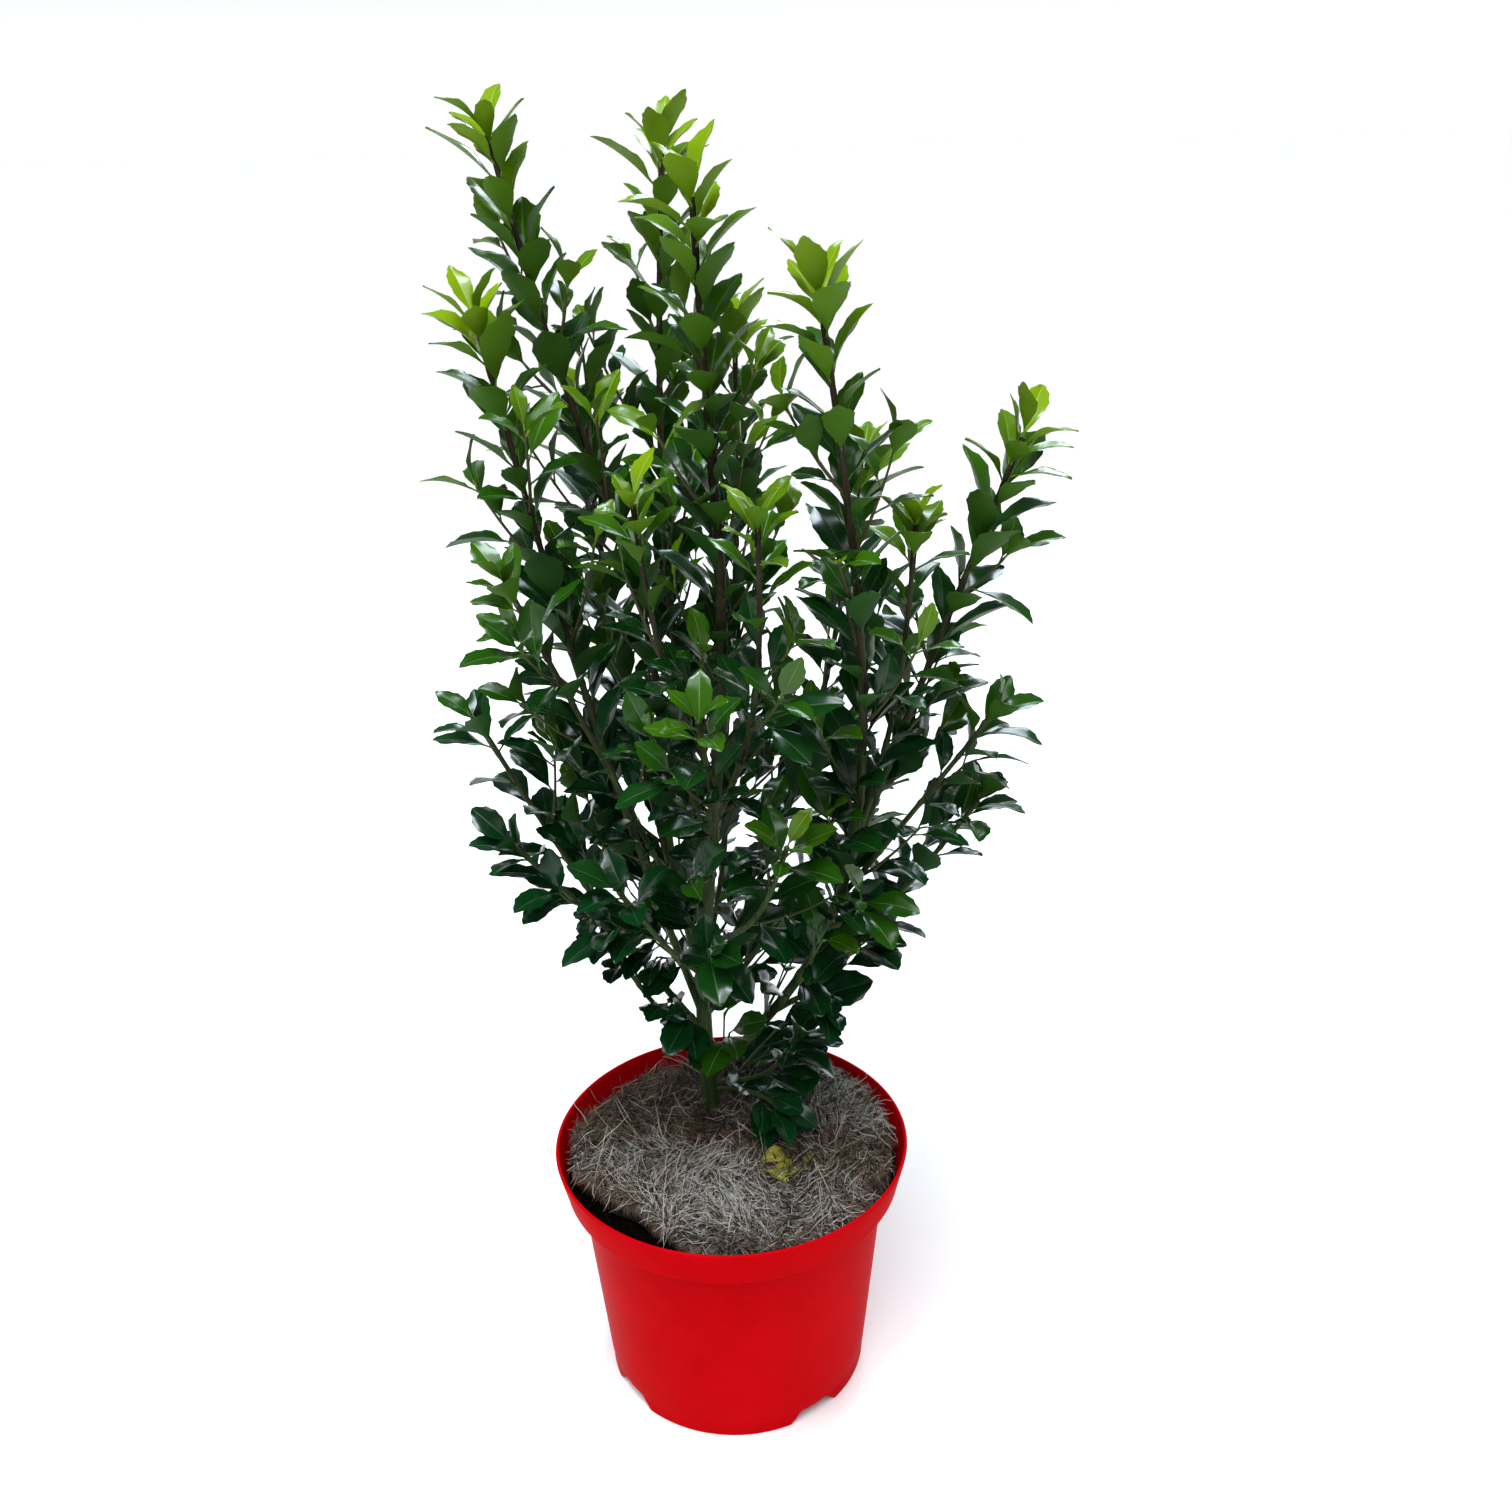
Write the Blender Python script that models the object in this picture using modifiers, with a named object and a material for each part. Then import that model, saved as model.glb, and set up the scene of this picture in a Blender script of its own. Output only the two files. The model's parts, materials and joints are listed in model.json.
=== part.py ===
"""A young upright blue holly in a round nursery pot, in metres, +Z up.

The origin is the middle of the flat pad under the pot. The shrub is one leading trunk that runs up
through the crown, the boughs that leave it or each other, and a mass of leafy twigs on every bough.
"""

import math
import random
from typing import NamedTuple

import bmesh
import bpy
import numpy as np
from mathutils import Matrix, Vector
from mathutils.bvhtree import BVHTree

MM = 0.001
GAP = 0.0003
WELD = 0.00001
GOLDEN_ANGLE = math.radians(137.508)
UP = Vector((0, 0, 1))

# Pot
POT_HEIGHT = 0.1654
RIM_RADIUS = 0.1100
COLLAR_DEPTH = 0.0244
COLLAR_FOOT_RADIUS = 0.1049
SHOULDER_DROP = 0.0050
BODY_TOP_RADIUS = 0.0962
FOOT_RADIUS = 0.0828
WALL = 0.0020
LIP_ROUNDING = 0.0008
FOOT_RING_WIDTH = 0.0026
FLOOR_RISE = 0.0086
PAD_RADIUS = 0.0540
FLOOR_SLOPE = 0.0030
NOTCH_COUNT = 4
NOTCH_FIRST_ANGLE = math.radians(-54)
NOTCH_WIDTH_BELOW = 0.0350
NOTCH_WIDTH_ABOVE = 0.0210
NOTCH_HEIGHT = 0.0080
DRAIN_COUNT = 8
DRAIN_RADIUS = 0.0045
DRAIN_CIRCLE = 0.0680
POT_STEPS = 36

# Root ball and fibre mat
SOIL_TOP = 0.1450
SOIL_CLEARANCE = 0.0005
MAT_RADIUS = 0.1000
MAT_THICKNESS = 0.0110
MAT_LIFT = 0.0036
MAT_SAG = 0.0026
MAT_WAVE = 0.0012
MAT_DIP = 0.0025
MAT_DIP_REACH = 0.0346
MAT_CUT_ANGLE = math.radians(-131.5)
MAT_CUT_DISTANCE = 0.0830
MAT_HOLE_RADIUS = 0.0125
MAT_SIDES = 40
MAT_RINGS = 4

# Woody parts
TRUNK_FOOT = (-13, 47)
TRUNK_RADIUS = 0.0056
FLARE_RADIUS = 0.0088
FLARE_HEIGHT = 0.0140
LEADER_TIP_RADIUS = 0.0011
TRUNK_SIDES = 8
BOUGH_SIDES = 5
STEM_SIDES = 4
TWIG_SIDES = 3
TWIG_RADIUS = 0.0011
TWIG_TIP_RADIUS = 0.0007
TRUNK_POINTS = 15
BOUGH_POINTS = 8
STEM_POINTS = 7
SHOOT_POINTS = 6
CELL_POINTS = 60

# Leaves and twigs
LEAF_LENGTH = 0.0440
LEAF_WIDTH = 0.0225
LEAF_SUNK = 0.0003
STALK_REACH = 0.0022
STALK_THICKNESS = 0.0017
LEAF_WIDEST = 0.57
LEAF_FOLD = 0.06
LEAF_DROOP = 0.16
LEAF_ANGLE = math.radians(52)
TIP_LEAF_ANGLE = math.radians(32)
TIP_LEAF_SIZE = 0.86
LEAF_FACING_UP = 0.5
LEAF_STEP = 0.0312
TWIG_LEAF_STEP = 0.0230
TIP_LEAVES = 4
TWIG_TIP_LEAVES = 3
TIP_LEAF_STEP = 0.0042
TIP_BUD = 0.0010
LEAF_TRIES = 5
LEAF_TRY_TURN = 0.5
LEAF_REACH = 0.6
TWIG_STEP = 0.0420
TWIG_FREE_TIP = 0.0680
TWIG_TAPER = 0.36
TWIG_ANGLE = math.radians(42)
TWIG_RISE = 0.45
TWIG_LIGHT = 0.6
TWIG_TRIES = 5
TWIG_TRY_TURN = 0.7
TWIG_TRY_SHRINK = 0.12

# Space between neighbours
CELL_MARGIN = 0.0010
RIM_MARGIN = 0.0030
MAT_MARGIN = 0.0040
INSIDE_RIM = 0.0980
FIRST_SEED = 11


class Limb(NamedTuple):
    """A bough and the mass that it carries. Places and sizes are in millimetres, heights from the ground."""

    parent: str
    leaves_at: float
    bends: tuple
    tip: tuple
    mass_from: float
    radius: float
    twig: float


LIMBS = {
    "left_tall": Limb(
        "trunk", 256, ((-32, 36, 350), (-37, 42, 464), (-82, 46, 640)), (-108, 50, 749), 330, 2.7, 56
    ),
    "back_tall": Limb("trunk", 306, ((-20, 62, 400), (-27, 72, 480)), (-22, 84, 741), 370, 2.6, 56),
    "left": Limb("trunk", 226, ((-68, 10, 437),), (-115, 5, 663), 310, 2.5, 56),
    "right_front": Limb("trunk", 178, ((58, 2, 305), (77, -38, 490)), (54, -66, 682), 385, 3.4, 48),
    "right": Limb("right_front", 300, ((97, 14, 412),), (162, 0, 600), 370, 2.5, 50),
    "left_side": Limb("trunk", 280, ((-62, -18, 430),), (-104, -44, 542), 335, 2.0, 50),
    "far_left": Limb("trunk", 214, ((-62, 14, 303),), (-130, -12, 452), 308, 2.4, 50),
    "low_left": Limb("far_left", 278, ((-86, -8, 340),), (-114, -26, 384), 312, 1.8, 40),
    "mid_left": Limb("trunk", 405, ((-26, -32, 490),), (-36, -60, 584), 446, 1.8, 48),
    "centre_mid": Limb("trunk", 372, ((20, -44, 470),), (24, -78, 582), 420, 1.9, 48),
    "right_mid": Limb("right_front", 365, ((94, -10, 440),), (106, -16, 560), 410, 1.8, 48),
    "front_mid": Limb("trunk", 330, ((-2, -36, 400),), (-8, -84, 480), 368, 1.9, 48),
    "front_low": Limb("trunk", 286, ((18, -26, 335),), (36, -66, 400), 316, 1.9, 48),
    "front_left_low": Limb("trunk", 262, ((-32, -16, 310),), (-56, -48, 366), 294, 1.9, 46),
    "right_low": Limb("right_front", 262, ((92, 16, 312),), (148, 8, 390), 300, 1.9, 48),
    "right_side": Limb("right_front", 335, ((108, -4, 388),), (150, -12, 450), 374, 1.8, 44),
    "left_base": Limb("trunk", 197, ((-47, 23, 250),), (-68, 7, 300), 240, 1.9, 34),
    "right_base": Limb("right_front", 240, ((66, 6, 280),), (80, -14, 318), 268, 1.8, 32),
    "back_left": Limb("left_tall", 292, ((-58, 80, 440),), (-76, 108, 602), 375, 2.2, 56),
    "back_mid": Limb("trunk", 320, ((8, 84, 460),), (14, 118, 640), 385, 2.2, 56),
    "back_right": Limb("trunk", 240, ((54, 76, 400),), (86, 98, 566), 325, 2.3, 56),
    "back_low_left": Limb("trunk", 236, ((-50, 76, 306),), (-78, 98, 384), 292, 1.9, 46),
    "back_low_right": Limb("trunk", 226, ((42, 80, 290),), (82, 98, 366), 278, 1.9, 46),
    "back_low": Limb("trunk", 262, ((0, 92, 330),), (0, 124, 420), 312, 1.9, 50),
}
TRUNK_BENDS = ((-16, 40, 223), (-4, 12, 389), (4, -10, 517))
TRUNK_TOP = 470
CROWN_TIP = (-3, -36, 722)
CROWN_BEND = (0, -28, 640)
CROWN_TWIG = 0.056
BASAL_SHOOTS = {
    "shoot_right": Limb("trunk", 174, ((20, 26, 192),), (42, 10, 232), 176, 1.4, 34),
    "shoot_front": Limb("trunk", 167, ((6, 30, 178),), (26, 8, 184), 167, 1.3, 0),
}


def clear_scene():
    for old in list(bpy.data.objects):
        bpy.data.objects.remove(old)


def new_collection(name, hidden=False):
    made = bpy.data.collections.new(name)
    made.hide_render = hidden
    bpy.context.scene.collection.children.link(made)
    return made


def material(name, colour, roughness):
    made = bpy.data.materials.new(name)
    made.use_nodes = True
    shader = made.node_tree.nodes["Principled BSDF"]
    shader.inputs["Base Color"].default_value = (*colour, 1)
    shader.inputs["Roughness"].default_value = roughness
    return made


def add_object(name, data, collection, look=None):
    made = bpy.data.objects.new(name, data)
    collection.objects.link(made)
    if look is not None:
        data.materials.clear()
        data.materials.append(look)
    return made


def mesh_of(name, bm):
    mesh = bpy.data.meshes.new(name)
    bm.to_mesh(mesh)
    bm.free()
    return mesh


def turned(name, profile, steps, collection, look):
    """A closed round body from an axis-to-axis profile of (radius, height) points."""
    bm = bmesh.new()
    points = [bm.verts.new((r, 0, z)) for r, z in profile]
    for a, b in zip(points, points[1:]):
        bm.edges.new((a, b))
    made = add_object(name, mesh_of(name, bm), collection, look)
    spin = made.modifiers.new("turn", "SCREW")
    spin.angle = math.tau
    spin.steps = spin.render_steps = steps
    spin.use_merge_vertices = True
    spin.merge_threshold = 0.00005
    made.data = baked(made, WELD)
    made.modifiers.clear()
    made.data.shade_smooth()
    made.data.set_sharp_from_angle(angle=math.radians(30))
    return made


def baked(obj, weld=0.0):
    """The object's evaluated mesh, with points closer than the weld distance merged."""
    graph = bpy.context.evaluated_depsgraph_get()
    mesh = bpy.data.meshes.new_from_object(obj.evaluated_get(graph))
    if weld:
        bm = bmesh.new()
        bm.from_mesh(mesh)
        bmesh.ops.remove_doubles(bm, verts=bm.verts, dist=weld)
        bmesh.ops.recalc_face_normals(bm, faces=bm.faces)
        bm.to_mesh(mesh)
        bm.free()
    return mesh


def cut(obj, cutters, solver="EXACT"):
    """Takes the cutters' shapes out of the object for good."""
    for cutter in cutters:
        step = obj.modifiers.new("cut", "BOOLEAN")
        step.operation = "DIFFERENCE"
        step.solver = solver
        step.object = cutter
    obj.data = baked(obj)
    obj.modifiers.clear()
    for cutter in cutters:
        bpy.data.objects.remove(cutter)


def wall_radius(z):
    """Outer radius of the pot's side at height z."""
    collar_foot = POT_HEIGHT - COLLAR_DEPTH
    body_top = collar_foot - SHOULDER_DROP
    heights = (0, body_top, collar_foot, POT_HEIGHT)
    radii = (FOOT_RADIUS, BODY_TOP_RADIUS, COLLAR_FOOT_RADIUS, RIM_RADIUS)
    return float(np.interp(z, heights, radii))


def make_pot(collection, cutters, look):
    collar_foot = POT_HEIGHT - COLLAR_DEPTH
    body_top = collar_foot - SHOULDER_DROP
    floor_top = FLOOR_RISE + WALL
    profile = [(0, WALL), (PAD_RADIUS - WALL, WALL), (PAD_RADIUS + FLOOR_SLOPE - WALL, floor_top)]
    profile += [(wall_radius(z) - WALL, z) for z in (floor_top, body_top, collar_foot)]
    profile += [
        (RIM_RADIUS - WALL, POT_HEIGHT - LIP_ROUNDING),
        (RIM_RADIUS - WALL + LIP_ROUNDING, POT_HEIGHT),
        (RIM_RADIUS - LIP_ROUNDING, POT_HEIGHT),
        (RIM_RADIUS, POT_HEIGHT - LIP_ROUNDING),
        (COLLAR_FOOT_RADIUS, collar_foot),
        (BODY_TOP_RADIUS, body_top),
        (FOOT_RADIUS, 0),
        (FOOT_RADIUS - FOOT_RING_WIDTH, 0),
        (FOOT_RADIUS - FOOT_RING_WIDTH, FLOOR_RISE),
        (PAD_RADIUS + FLOOR_SLOPE, FLOOR_RISE),
        (PAD_RADIUS, 0),
        (0, 0),
    ]
    pot = turned("pot", profile, POT_STEPS, collection, look)
    tools = [notch_cutter(k, cutters) for k in range(NOTCH_COUNT)]
    tools += [drain_cutter(k, cutters) for k in range(DRAIN_COUNT)]
    cut(pot, tools)
    return pot


def notch_cutter(k, cutters):
    """A wedge that opens the foot ring, wider at the ground."""
    bm = bmesh.new()
    bmesh.ops.create_cube(bm, size=1)
    for v in bm.verts:
        width = NOTCH_WIDTH_ABOVE if v.co.z > 0 else NOTCH_WIDTH_BELOW * (1 + WALL / NOTCH_HEIGHT)
        height = NOTCH_HEIGHT if v.co.z > 0 else -WALL
        v.co = Vector((FOOT_RADIUS + v.co.x * 6 * WALL, v.co.y * width, height))
    made = add_object(f"notch_cutter_{k}", mesh_of("notch_cutter", bm), cutters)
    turn = NOTCH_FIRST_ANGLE + k * math.tau / NOTCH_COUNT
    made.data.transform(Matrix.Rotation(turn, 4, "Z"))
    return made


def drain_cutter(k, cutters):
    bm = bmesh.new()
    radii = {"radius1": DRAIN_RADIUS, "radius2": DRAIN_RADIUS}
    bmesh.ops.create_cone(bm, cap_ends=True, segments=8, depth=4 * WALL, **radii)
    turn = NOTCH_FIRST_ANGLE + (k + 0.5) * math.tau / DRAIN_COUNT
    place = Vector((DRAIN_CIRCLE * math.cos(turn), DRAIN_CIRCLE * math.sin(turn), FLOOR_RISE + WALL / 2))
    bmesh.ops.translate(bm, verts=bm.verts, vec=place)
    return add_object(f"drain_cutter_{k}", mesh_of("drain_cutter", bm), cutters)


def make_root_ball(collection, look):
    """The soil and roots, which fill the pot to below its collar's top."""
    body_top = POT_HEIGHT - COLLAR_DEPTH - SHOULDER_DROP
    inside = WALL + SOIL_CLEARANCE
    low = FLOOR_RISE + WALL + GAP
    profile = [
        (0, SOIL_TOP),
        (wall_radius(SOIL_TOP) - inside, SOIL_TOP),
        (COLLAR_FOOT_RADIUS - inside, POT_HEIGHT - COLLAR_DEPTH),
        (BODY_TOP_RADIUS - inside, body_top),
        (wall_radius(low) - inside, low),
        (PAD_RADIUS + FLOOR_SLOPE - WALL - GAP, low),
        (PAD_RADIUS - WALL - GAP, WALL + GAP),
        (0, WALL + GAP),
    ]
    return turned("root_ball", profile, POT_STEPS, collection, look)


def mat_top(x, y):
    """Height of the fibre mat: sunk behind the slit on its left and lifted in front of it."""
    in_front = 0.5 + 0.5 * math.tanh((-y - 0.35 * x - 0.012) / 0.012)
    on_left = 0.5 - 0.5 * math.tanh((x + 0.020) / 0.020)
    slit = on_left * (MAT_LIFT * in_front - MAT_SAG * (1 - in_front))
    waves = MAT_WAVE * math.sin(61 * x + 1.0) * math.cos(53 * y - 0.6)
    away = (Vector((x, y)) - Vector(TRUNK_FOOT) * MM).length
    hollow = MAT_DIP * math.exp(-((away / MAT_DIP_REACH) ** 2))
    return SOIL_TOP + MAT_THICKNESS + slit + waves - hollow


def mat_edge(angle):
    """Outline of the mat about the pot's axis: a circle with a straight cut at the front left."""
    turn = math.cos(angle - MAT_CUT_ANGLE)
    ruffle = 0.0012 * math.sin(9 * angle) + 0.0008 * math.sin(17 * angle + 1)
    radius = MAT_RADIUS + ruffle
    if turn > 0:
        radius = min(radius, MAT_CUT_DISTANCE / turn + ruffle)
    return Vector((radius * math.cos(angle), radius * math.sin(angle)))


def make_fibre_mat(collection, look):
    """A loft from the round hole at the trunk to the trimmed edge, with an upper and a lower side."""
    hole = Vector(TRUNK_FOOT) * MM
    outer = [mat_edge(k * math.tau / MAT_SIDES) for k in range(MAT_SIDES)]
    bm = bmesh.new()
    rings = []
    for side in ("top", "bottom"):
        shares = [k / (MAT_RINGS - 1) for k in range(MAT_RINGS)] if side == "top" else [1, 0]
        for share in shares:
            ring = []
            for edge in outer:
                near = hole + (edge - hole).normalized() * MAT_HOLE_RADIUS
                flat = near.lerp(edge, share)
                height = mat_top(*flat) if side == "top" else SOIL_TOP + GAP
                ring.append(bm.verts.new((flat.x, flat.y, height)))
            rings.append(ring)
    for a, b in zip(rings, rings[1:] + rings[:1]):
        for k in range(MAT_SIDES):
            m = (k + 1) % MAT_SIDES
            bm.faces.new((a[k], b[k], b[m], a[m]))
    bmesh.ops.recalc_face_normals(bm, faces=bm.faces)
    made = add_object("fibre_mat", mesh_of("fibre_mat", bm), collection, look)
    made.data.shade_smooth()
    made.data.set_sharp_from_angle(angle=math.radians(40))
    return made


def flowing(points, count):
    """Points at even steps on a natural cubic spline through the given points."""
    p = np.array([list(q) for q in points], float)
    t = np.concatenate([[0], np.cumsum(np.linalg.norm(np.diff(p, axis=0), axis=1))])
    h = np.diff(t)
    n = len(p)
    a, b = np.eye(n), np.zeros((n, 3))
    for k in range(1, n - 1):
        a[k, k - 1 : k + 2] = h[k - 1], 2 * (h[k - 1] + h[k]), h[k]
        b[k] = 6 * ((p[k + 1] - p[k]) / h[k] - (p[k] - p[k - 1]) / h[k - 1])
    m = np.linalg.solve(a, b)
    at = np.linspace(0, t[-1], count)
    k = np.clip(np.searchsorted(t, at, side="right") - 1, 0, n - 2)
    u, w, hk = (t[k + 1] - at)[:, None], (at - t[k])[:, None], h[k][:, None]
    bend = (m[k] * u**3 + m[k + 1] * w**3) / (6 * hk)
    line = (p[k] / hk - m[k] * hk / 6) * u + (p[k + 1] / hk - m[k + 1] * hk / 6) * w
    return [Vector(q) for q in bend + line]


def guide_ring(sides, cutters):
    """A closed outline of unit radius that tubes are swept with."""
    name = f"ring_{sides}"
    if name in bpy.data.objects:
        return bpy.data.objects[name]
    data = bpy.data.curves.new(name, "CURVE")
    data.dimensions = "2D"
    spline = data.splines.new("POLY")
    spline.points.add(sides - 1)
    for k in range(sides):
        turn = k * math.tau / sides
        spline.points[k].co = (math.cos(turn), math.sin(turn), 0, 1)
    spline.use_cyclic_u = True
    made = add_object(name, data, cutters)
    made.hide_render = True
    made.display_type = "WIRE"
    return made


def swept(name, paths, sides, collection, cutters, look=None):
    """Tapering closed tubes, one for each path of (point, radius) pairs, as one mesh object."""
    data = bpy.data.curves.new(name, "CURVE")
    data.dimensions = "3D"
    data.bevel_mode = "OBJECT"
    data.bevel_object = guide_ring(sides, cutters)
    data.use_fill_caps = True
    for path in paths:
        spline = data.splines.new("POLY")
        spline.points.add(len(path) - 1)
        for point, (place, radius) in zip(spline.points, path):
            point.co = (*place, 1)
            point.radius = radius
    curve = add_object(name + "_path", data, collection)
    bpy.context.view_layer.update()
    mesh = baked(curve, WELD)
    bpy.data.objects.remove(curve)
    return add_object(name, mesh, collection, look)


def trunk_line():
    foot = (*TRUNK_FOOT, (SOIL_TOP + GAP) / MM)
    line = flowing((foot, *TRUNK_BENDS, CROWN_BEND, CROWN_TIP), 120)
    return [p * MM for p in line]


def split_at(line, height):
    """The part of a rising line below a height in metres, and the part above it."""
    k = next(i for i, p in enumerate(line) if p.z >= height)
    a, b = line[k - 1], line[k]
    meet = a.lerp(b, (height - a.z) / (b.z - a.z))
    return line[:k] + [meet], [meet] + line[k:]


def thinned(line, count):
    """A line with this many points at even steps of its own points."""
    places = np.linspace(0, len(line) - 1, count)
    return [line[int(round(k))] for k in places]


def tapered(line, start, end, count):
    points = thinned(line, count)
    return [(p, start + (end - start) * k / (count - 1)) for k, p in enumerate(points)]


def limb_line(limb, parent_line):
    start = split_at(parent_line, limb.leaves_at * MM)[0][-1] / MM
    return [p * MM for p in flowing((start, *limb.bends, limb.tip), 80)]


def limb_radius(limb, share):
    """Radius along a limb, from its own start to its tip."""
    return limb.radius * MM + (LEADER_TIP_RADIUS - limb.radius * MM) * share


def trunk_radius(z):
    foot = SOIL_TOP
    taper = np.interp(z, (foot, CROWN_TIP[2] * MM), (TRUNK_RADIUS, LEADER_TIP_RADIUS))
    return float(taper + (FLARE_RADIUS - TRUNK_RADIUS) * math.exp(-(z - foot) / FLARE_HEIGHT * 2))


class Growth:
    """What has grown so far: limbs and leaves to keep clear of, and each mass's own stem line."""

    def __init__(self):
        self.lines = {}
        self.placed = []
        self.limbs = []

    def add_limb(self, obj):
        points = [v.co.copy() for v in obj.data.vertices]
        self.limbs.append(BVHTree.FromPolygons(points, [list(f.vertices) for f in obj.data.polygons]))

    def is_own_space(self, name, points):
        """True if every point is nearer to this mass's stem than to any other's."""
        at = np.array([list(p) for p in points])
        away = {other: distance_to_line(at, line) for other, line in self.lines.items()}
        own = away.pop(name) + CELL_MARGIN
        return bool((own < np.min(list(away.values()), axis=0)).all())

    def is_free(self, tree, centre, reach, own):
        """True if the shape touches no limb and nothing placed but its own stem or twig."""
        if any(tree.overlap(limb) for limb in self.limbs):
            return False
        for k, (other, place, size) in enumerate(self.placed):
            if k != own and (place - centre).length < reach + size and tree.overlap(other):
                return False
        return True

    def place(self, tree, centre, reach):
        self.placed.append((tree, centre, reach))
        return len(self.placed) - 1


def distance_to_line(points, line):
    return np.linalg.norm(points[:, None] - line[None], axis=2).min(axis=1)


def clears_pot(points):
    """True if every point is above the rim, or inside it and above the fibre mat."""
    for p in points:
        inside = p.xy.length < INSIDE_RIM and p.z > mat_top(p.x, p.y) + MAT_MARGIN
        if p.z < POT_HEIGHT + RIM_MARGIN and not inside:
            return False
    return True


def tube_tree(path, sides=6):
    """Six-sided skin of a path of (point, radius) pairs made fatter by the gap, for contact tests."""
    points, faces = [], []
    for k, (place, radius) in enumerate(path):
        ahead = (path[min(k + 1, len(path) - 1)][0] - path[max(k - 1, 0)][0]).normalized()
        side = ahead.cross(Vector((0.31, 0.87, 0.38))).normalized()
        ring = [Matrix.Rotation(m * math.tau / sides, 3, ahead) @ side for m in range(sides)]
        points += [place + (radius + GAP) * turn for turn in ring]
        first = (k - 1) * sides
        for m in range(sides if k else 0):
            n = (m + 1) % sides
            faces.append([first + m, first + n, first + sides + n, first + sides + m])
    return BVHTree.FromPolygons(points, faces)


class Path:
    """A stem or twig of (point, radius) pairs, walked by the distance along it."""

    def __init__(self, pairs):
        self.pairs = pairs
        self.points = [p for p, _ in pairs]
        steps = [(b - a).length for a, b in zip(self.points, self.points[1:])]
        self.marks = np.concatenate([[0], np.cumsum(steps)])
        self.length = float(self.marks[-1])

    def at(self, distance):
        """The point and the direction at a distance from the root."""
        k = int(np.clip(np.searchsorted(self.marks, distance) - 1, 0, len(self.points) - 2))
        share = (distance - self.marks[k]) / (self.marks[k + 1] - self.marks[k])
        a, b = self.points[k], self.points[k + 1]
        return a.lerp(b, share), (b - a).normalized()


def leaf_verts(bm, root, along, normal, length):
    """Adds one leaf of eight faces: a sphere of four sides and two rows, stretched, folded and bent.

    Its lower pole sits inside the twig, the two points above and below the stalk give it a sound
    root, the two side points are its widest place and its upper pole is the drooping tip.
    """
    made = bmesh.ops.create_uvsphere(bm, u_segments=4, v_segments=2, radius=1)["verts"]
    across = normal.cross(along).normalized()
    normal = along.cross(across).normalized()
    for v in made:
        x, y, z = v.co
        if z > 0.5:
            v.co = root + along * length - normal * LEAF_DROOP * length
        elif z < -0.5:
            v.co = root - along * LEAF_SUNK
        elif abs(x) > 0.5:
            side = across * x * LEAF_WIDTH / LEAF_LENGTH / 2 + normal * (LEAF_FOLD - LEAF_DROOP / 3)
            v.co = root + (along * LEAF_WIDEST + side) * length
        else:
            v.co = root + along * STALK_REACH + normal * y * STALK_THICKNESS / 2
    return made


def leaving(axis, azimuth, angle):
    """The way a leaf or twig leaves its stem, and the way a leaf's upper side faces."""
    across = axis.cross(Vector((0.2, 0.1, 1)) if abs(axis.z) < 0.9 else Vector((1, 0.2, 0))).normalized()
    outward = Matrix.Rotation(azimuth, 3, axis) @ across
    along = (axis * math.cos(angle) + outward * math.sin(angle)).normalized()
    facing = (axis * math.sin(angle) - outward * math.cos(angle)).normalized()
    return along, (facing + UP * LEAF_FACING_UP).normalized()


def add_leaf(bm, name, root, along, facing, size, growth, own):
    """Adds a leaf if it keeps to the mass's space and touches nothing. Says whether it did."""
    made = leaf_verts(bm, root, along, facing, size)
    index = {v: k for k, v in enumerate(made)}
    points = [v.co.copy() for v in made]
    faces = [[index[v] for v in face.verts] for face in {f for v in made for f in v.link_faces}]
    tree = BVHTree.FromPolygons(points, faces)
    centre = root + along * size / 2
    reach = size * LEAF_REACH
    fits = clears_pot(points) and growth.is_own_space(name, [*points, centre])
    if fits and growth.is_free(tree, centre, reach, own):
        growth.place(tree, centre, reach)
        return True
    bmesh.ops.delete(bm, geom=made, context="VERTS")
    return False


def grow_leaves(bm, name, path, growth, rng, own, step, tip_leaves):
    """Leaves by the golden angle up a stem or twig, then a rosette at its tip. Counts those that took."""
    rosette = path.length - TIP_LEAF_STEP * tip_leaves
    places = list(np.arange(step * 0.6, rosette, step))
    places += [path.length - TIP_LEAF_STEP * k - TIP_BUD for k in reversed(range(tip_leaves))]
    azimuth = rng.uniform(0, math.tau)
    count = 0
    for distance in places:
        root, axis = path.at(distance)
        in_rosette = distance > rosette - TIP_LEAF_STEP
        azimuth += GOLDEN_ANGLE
        for attempt in range(LEAF_TRIES):
            angle = (TIP_LEAF_ANGLE if in_rosette else LEAF_ANGLE) * rng.uniform(0.85, 1.2)
            turn = azimuth + attempt * LEAF_TRY_TURN * (-1) ** attempt
            along, facing = leaving(axis, turn, angle)
            size = LEAF_LENGTH * rng.uniform(0.82, 1.08) * (TIP_LEAF_SIZE if in_rosette else 1)
            if add_leaf(bm, name, root, along, facing, size, growth, own):
                count += 1
                break
    return count


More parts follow.
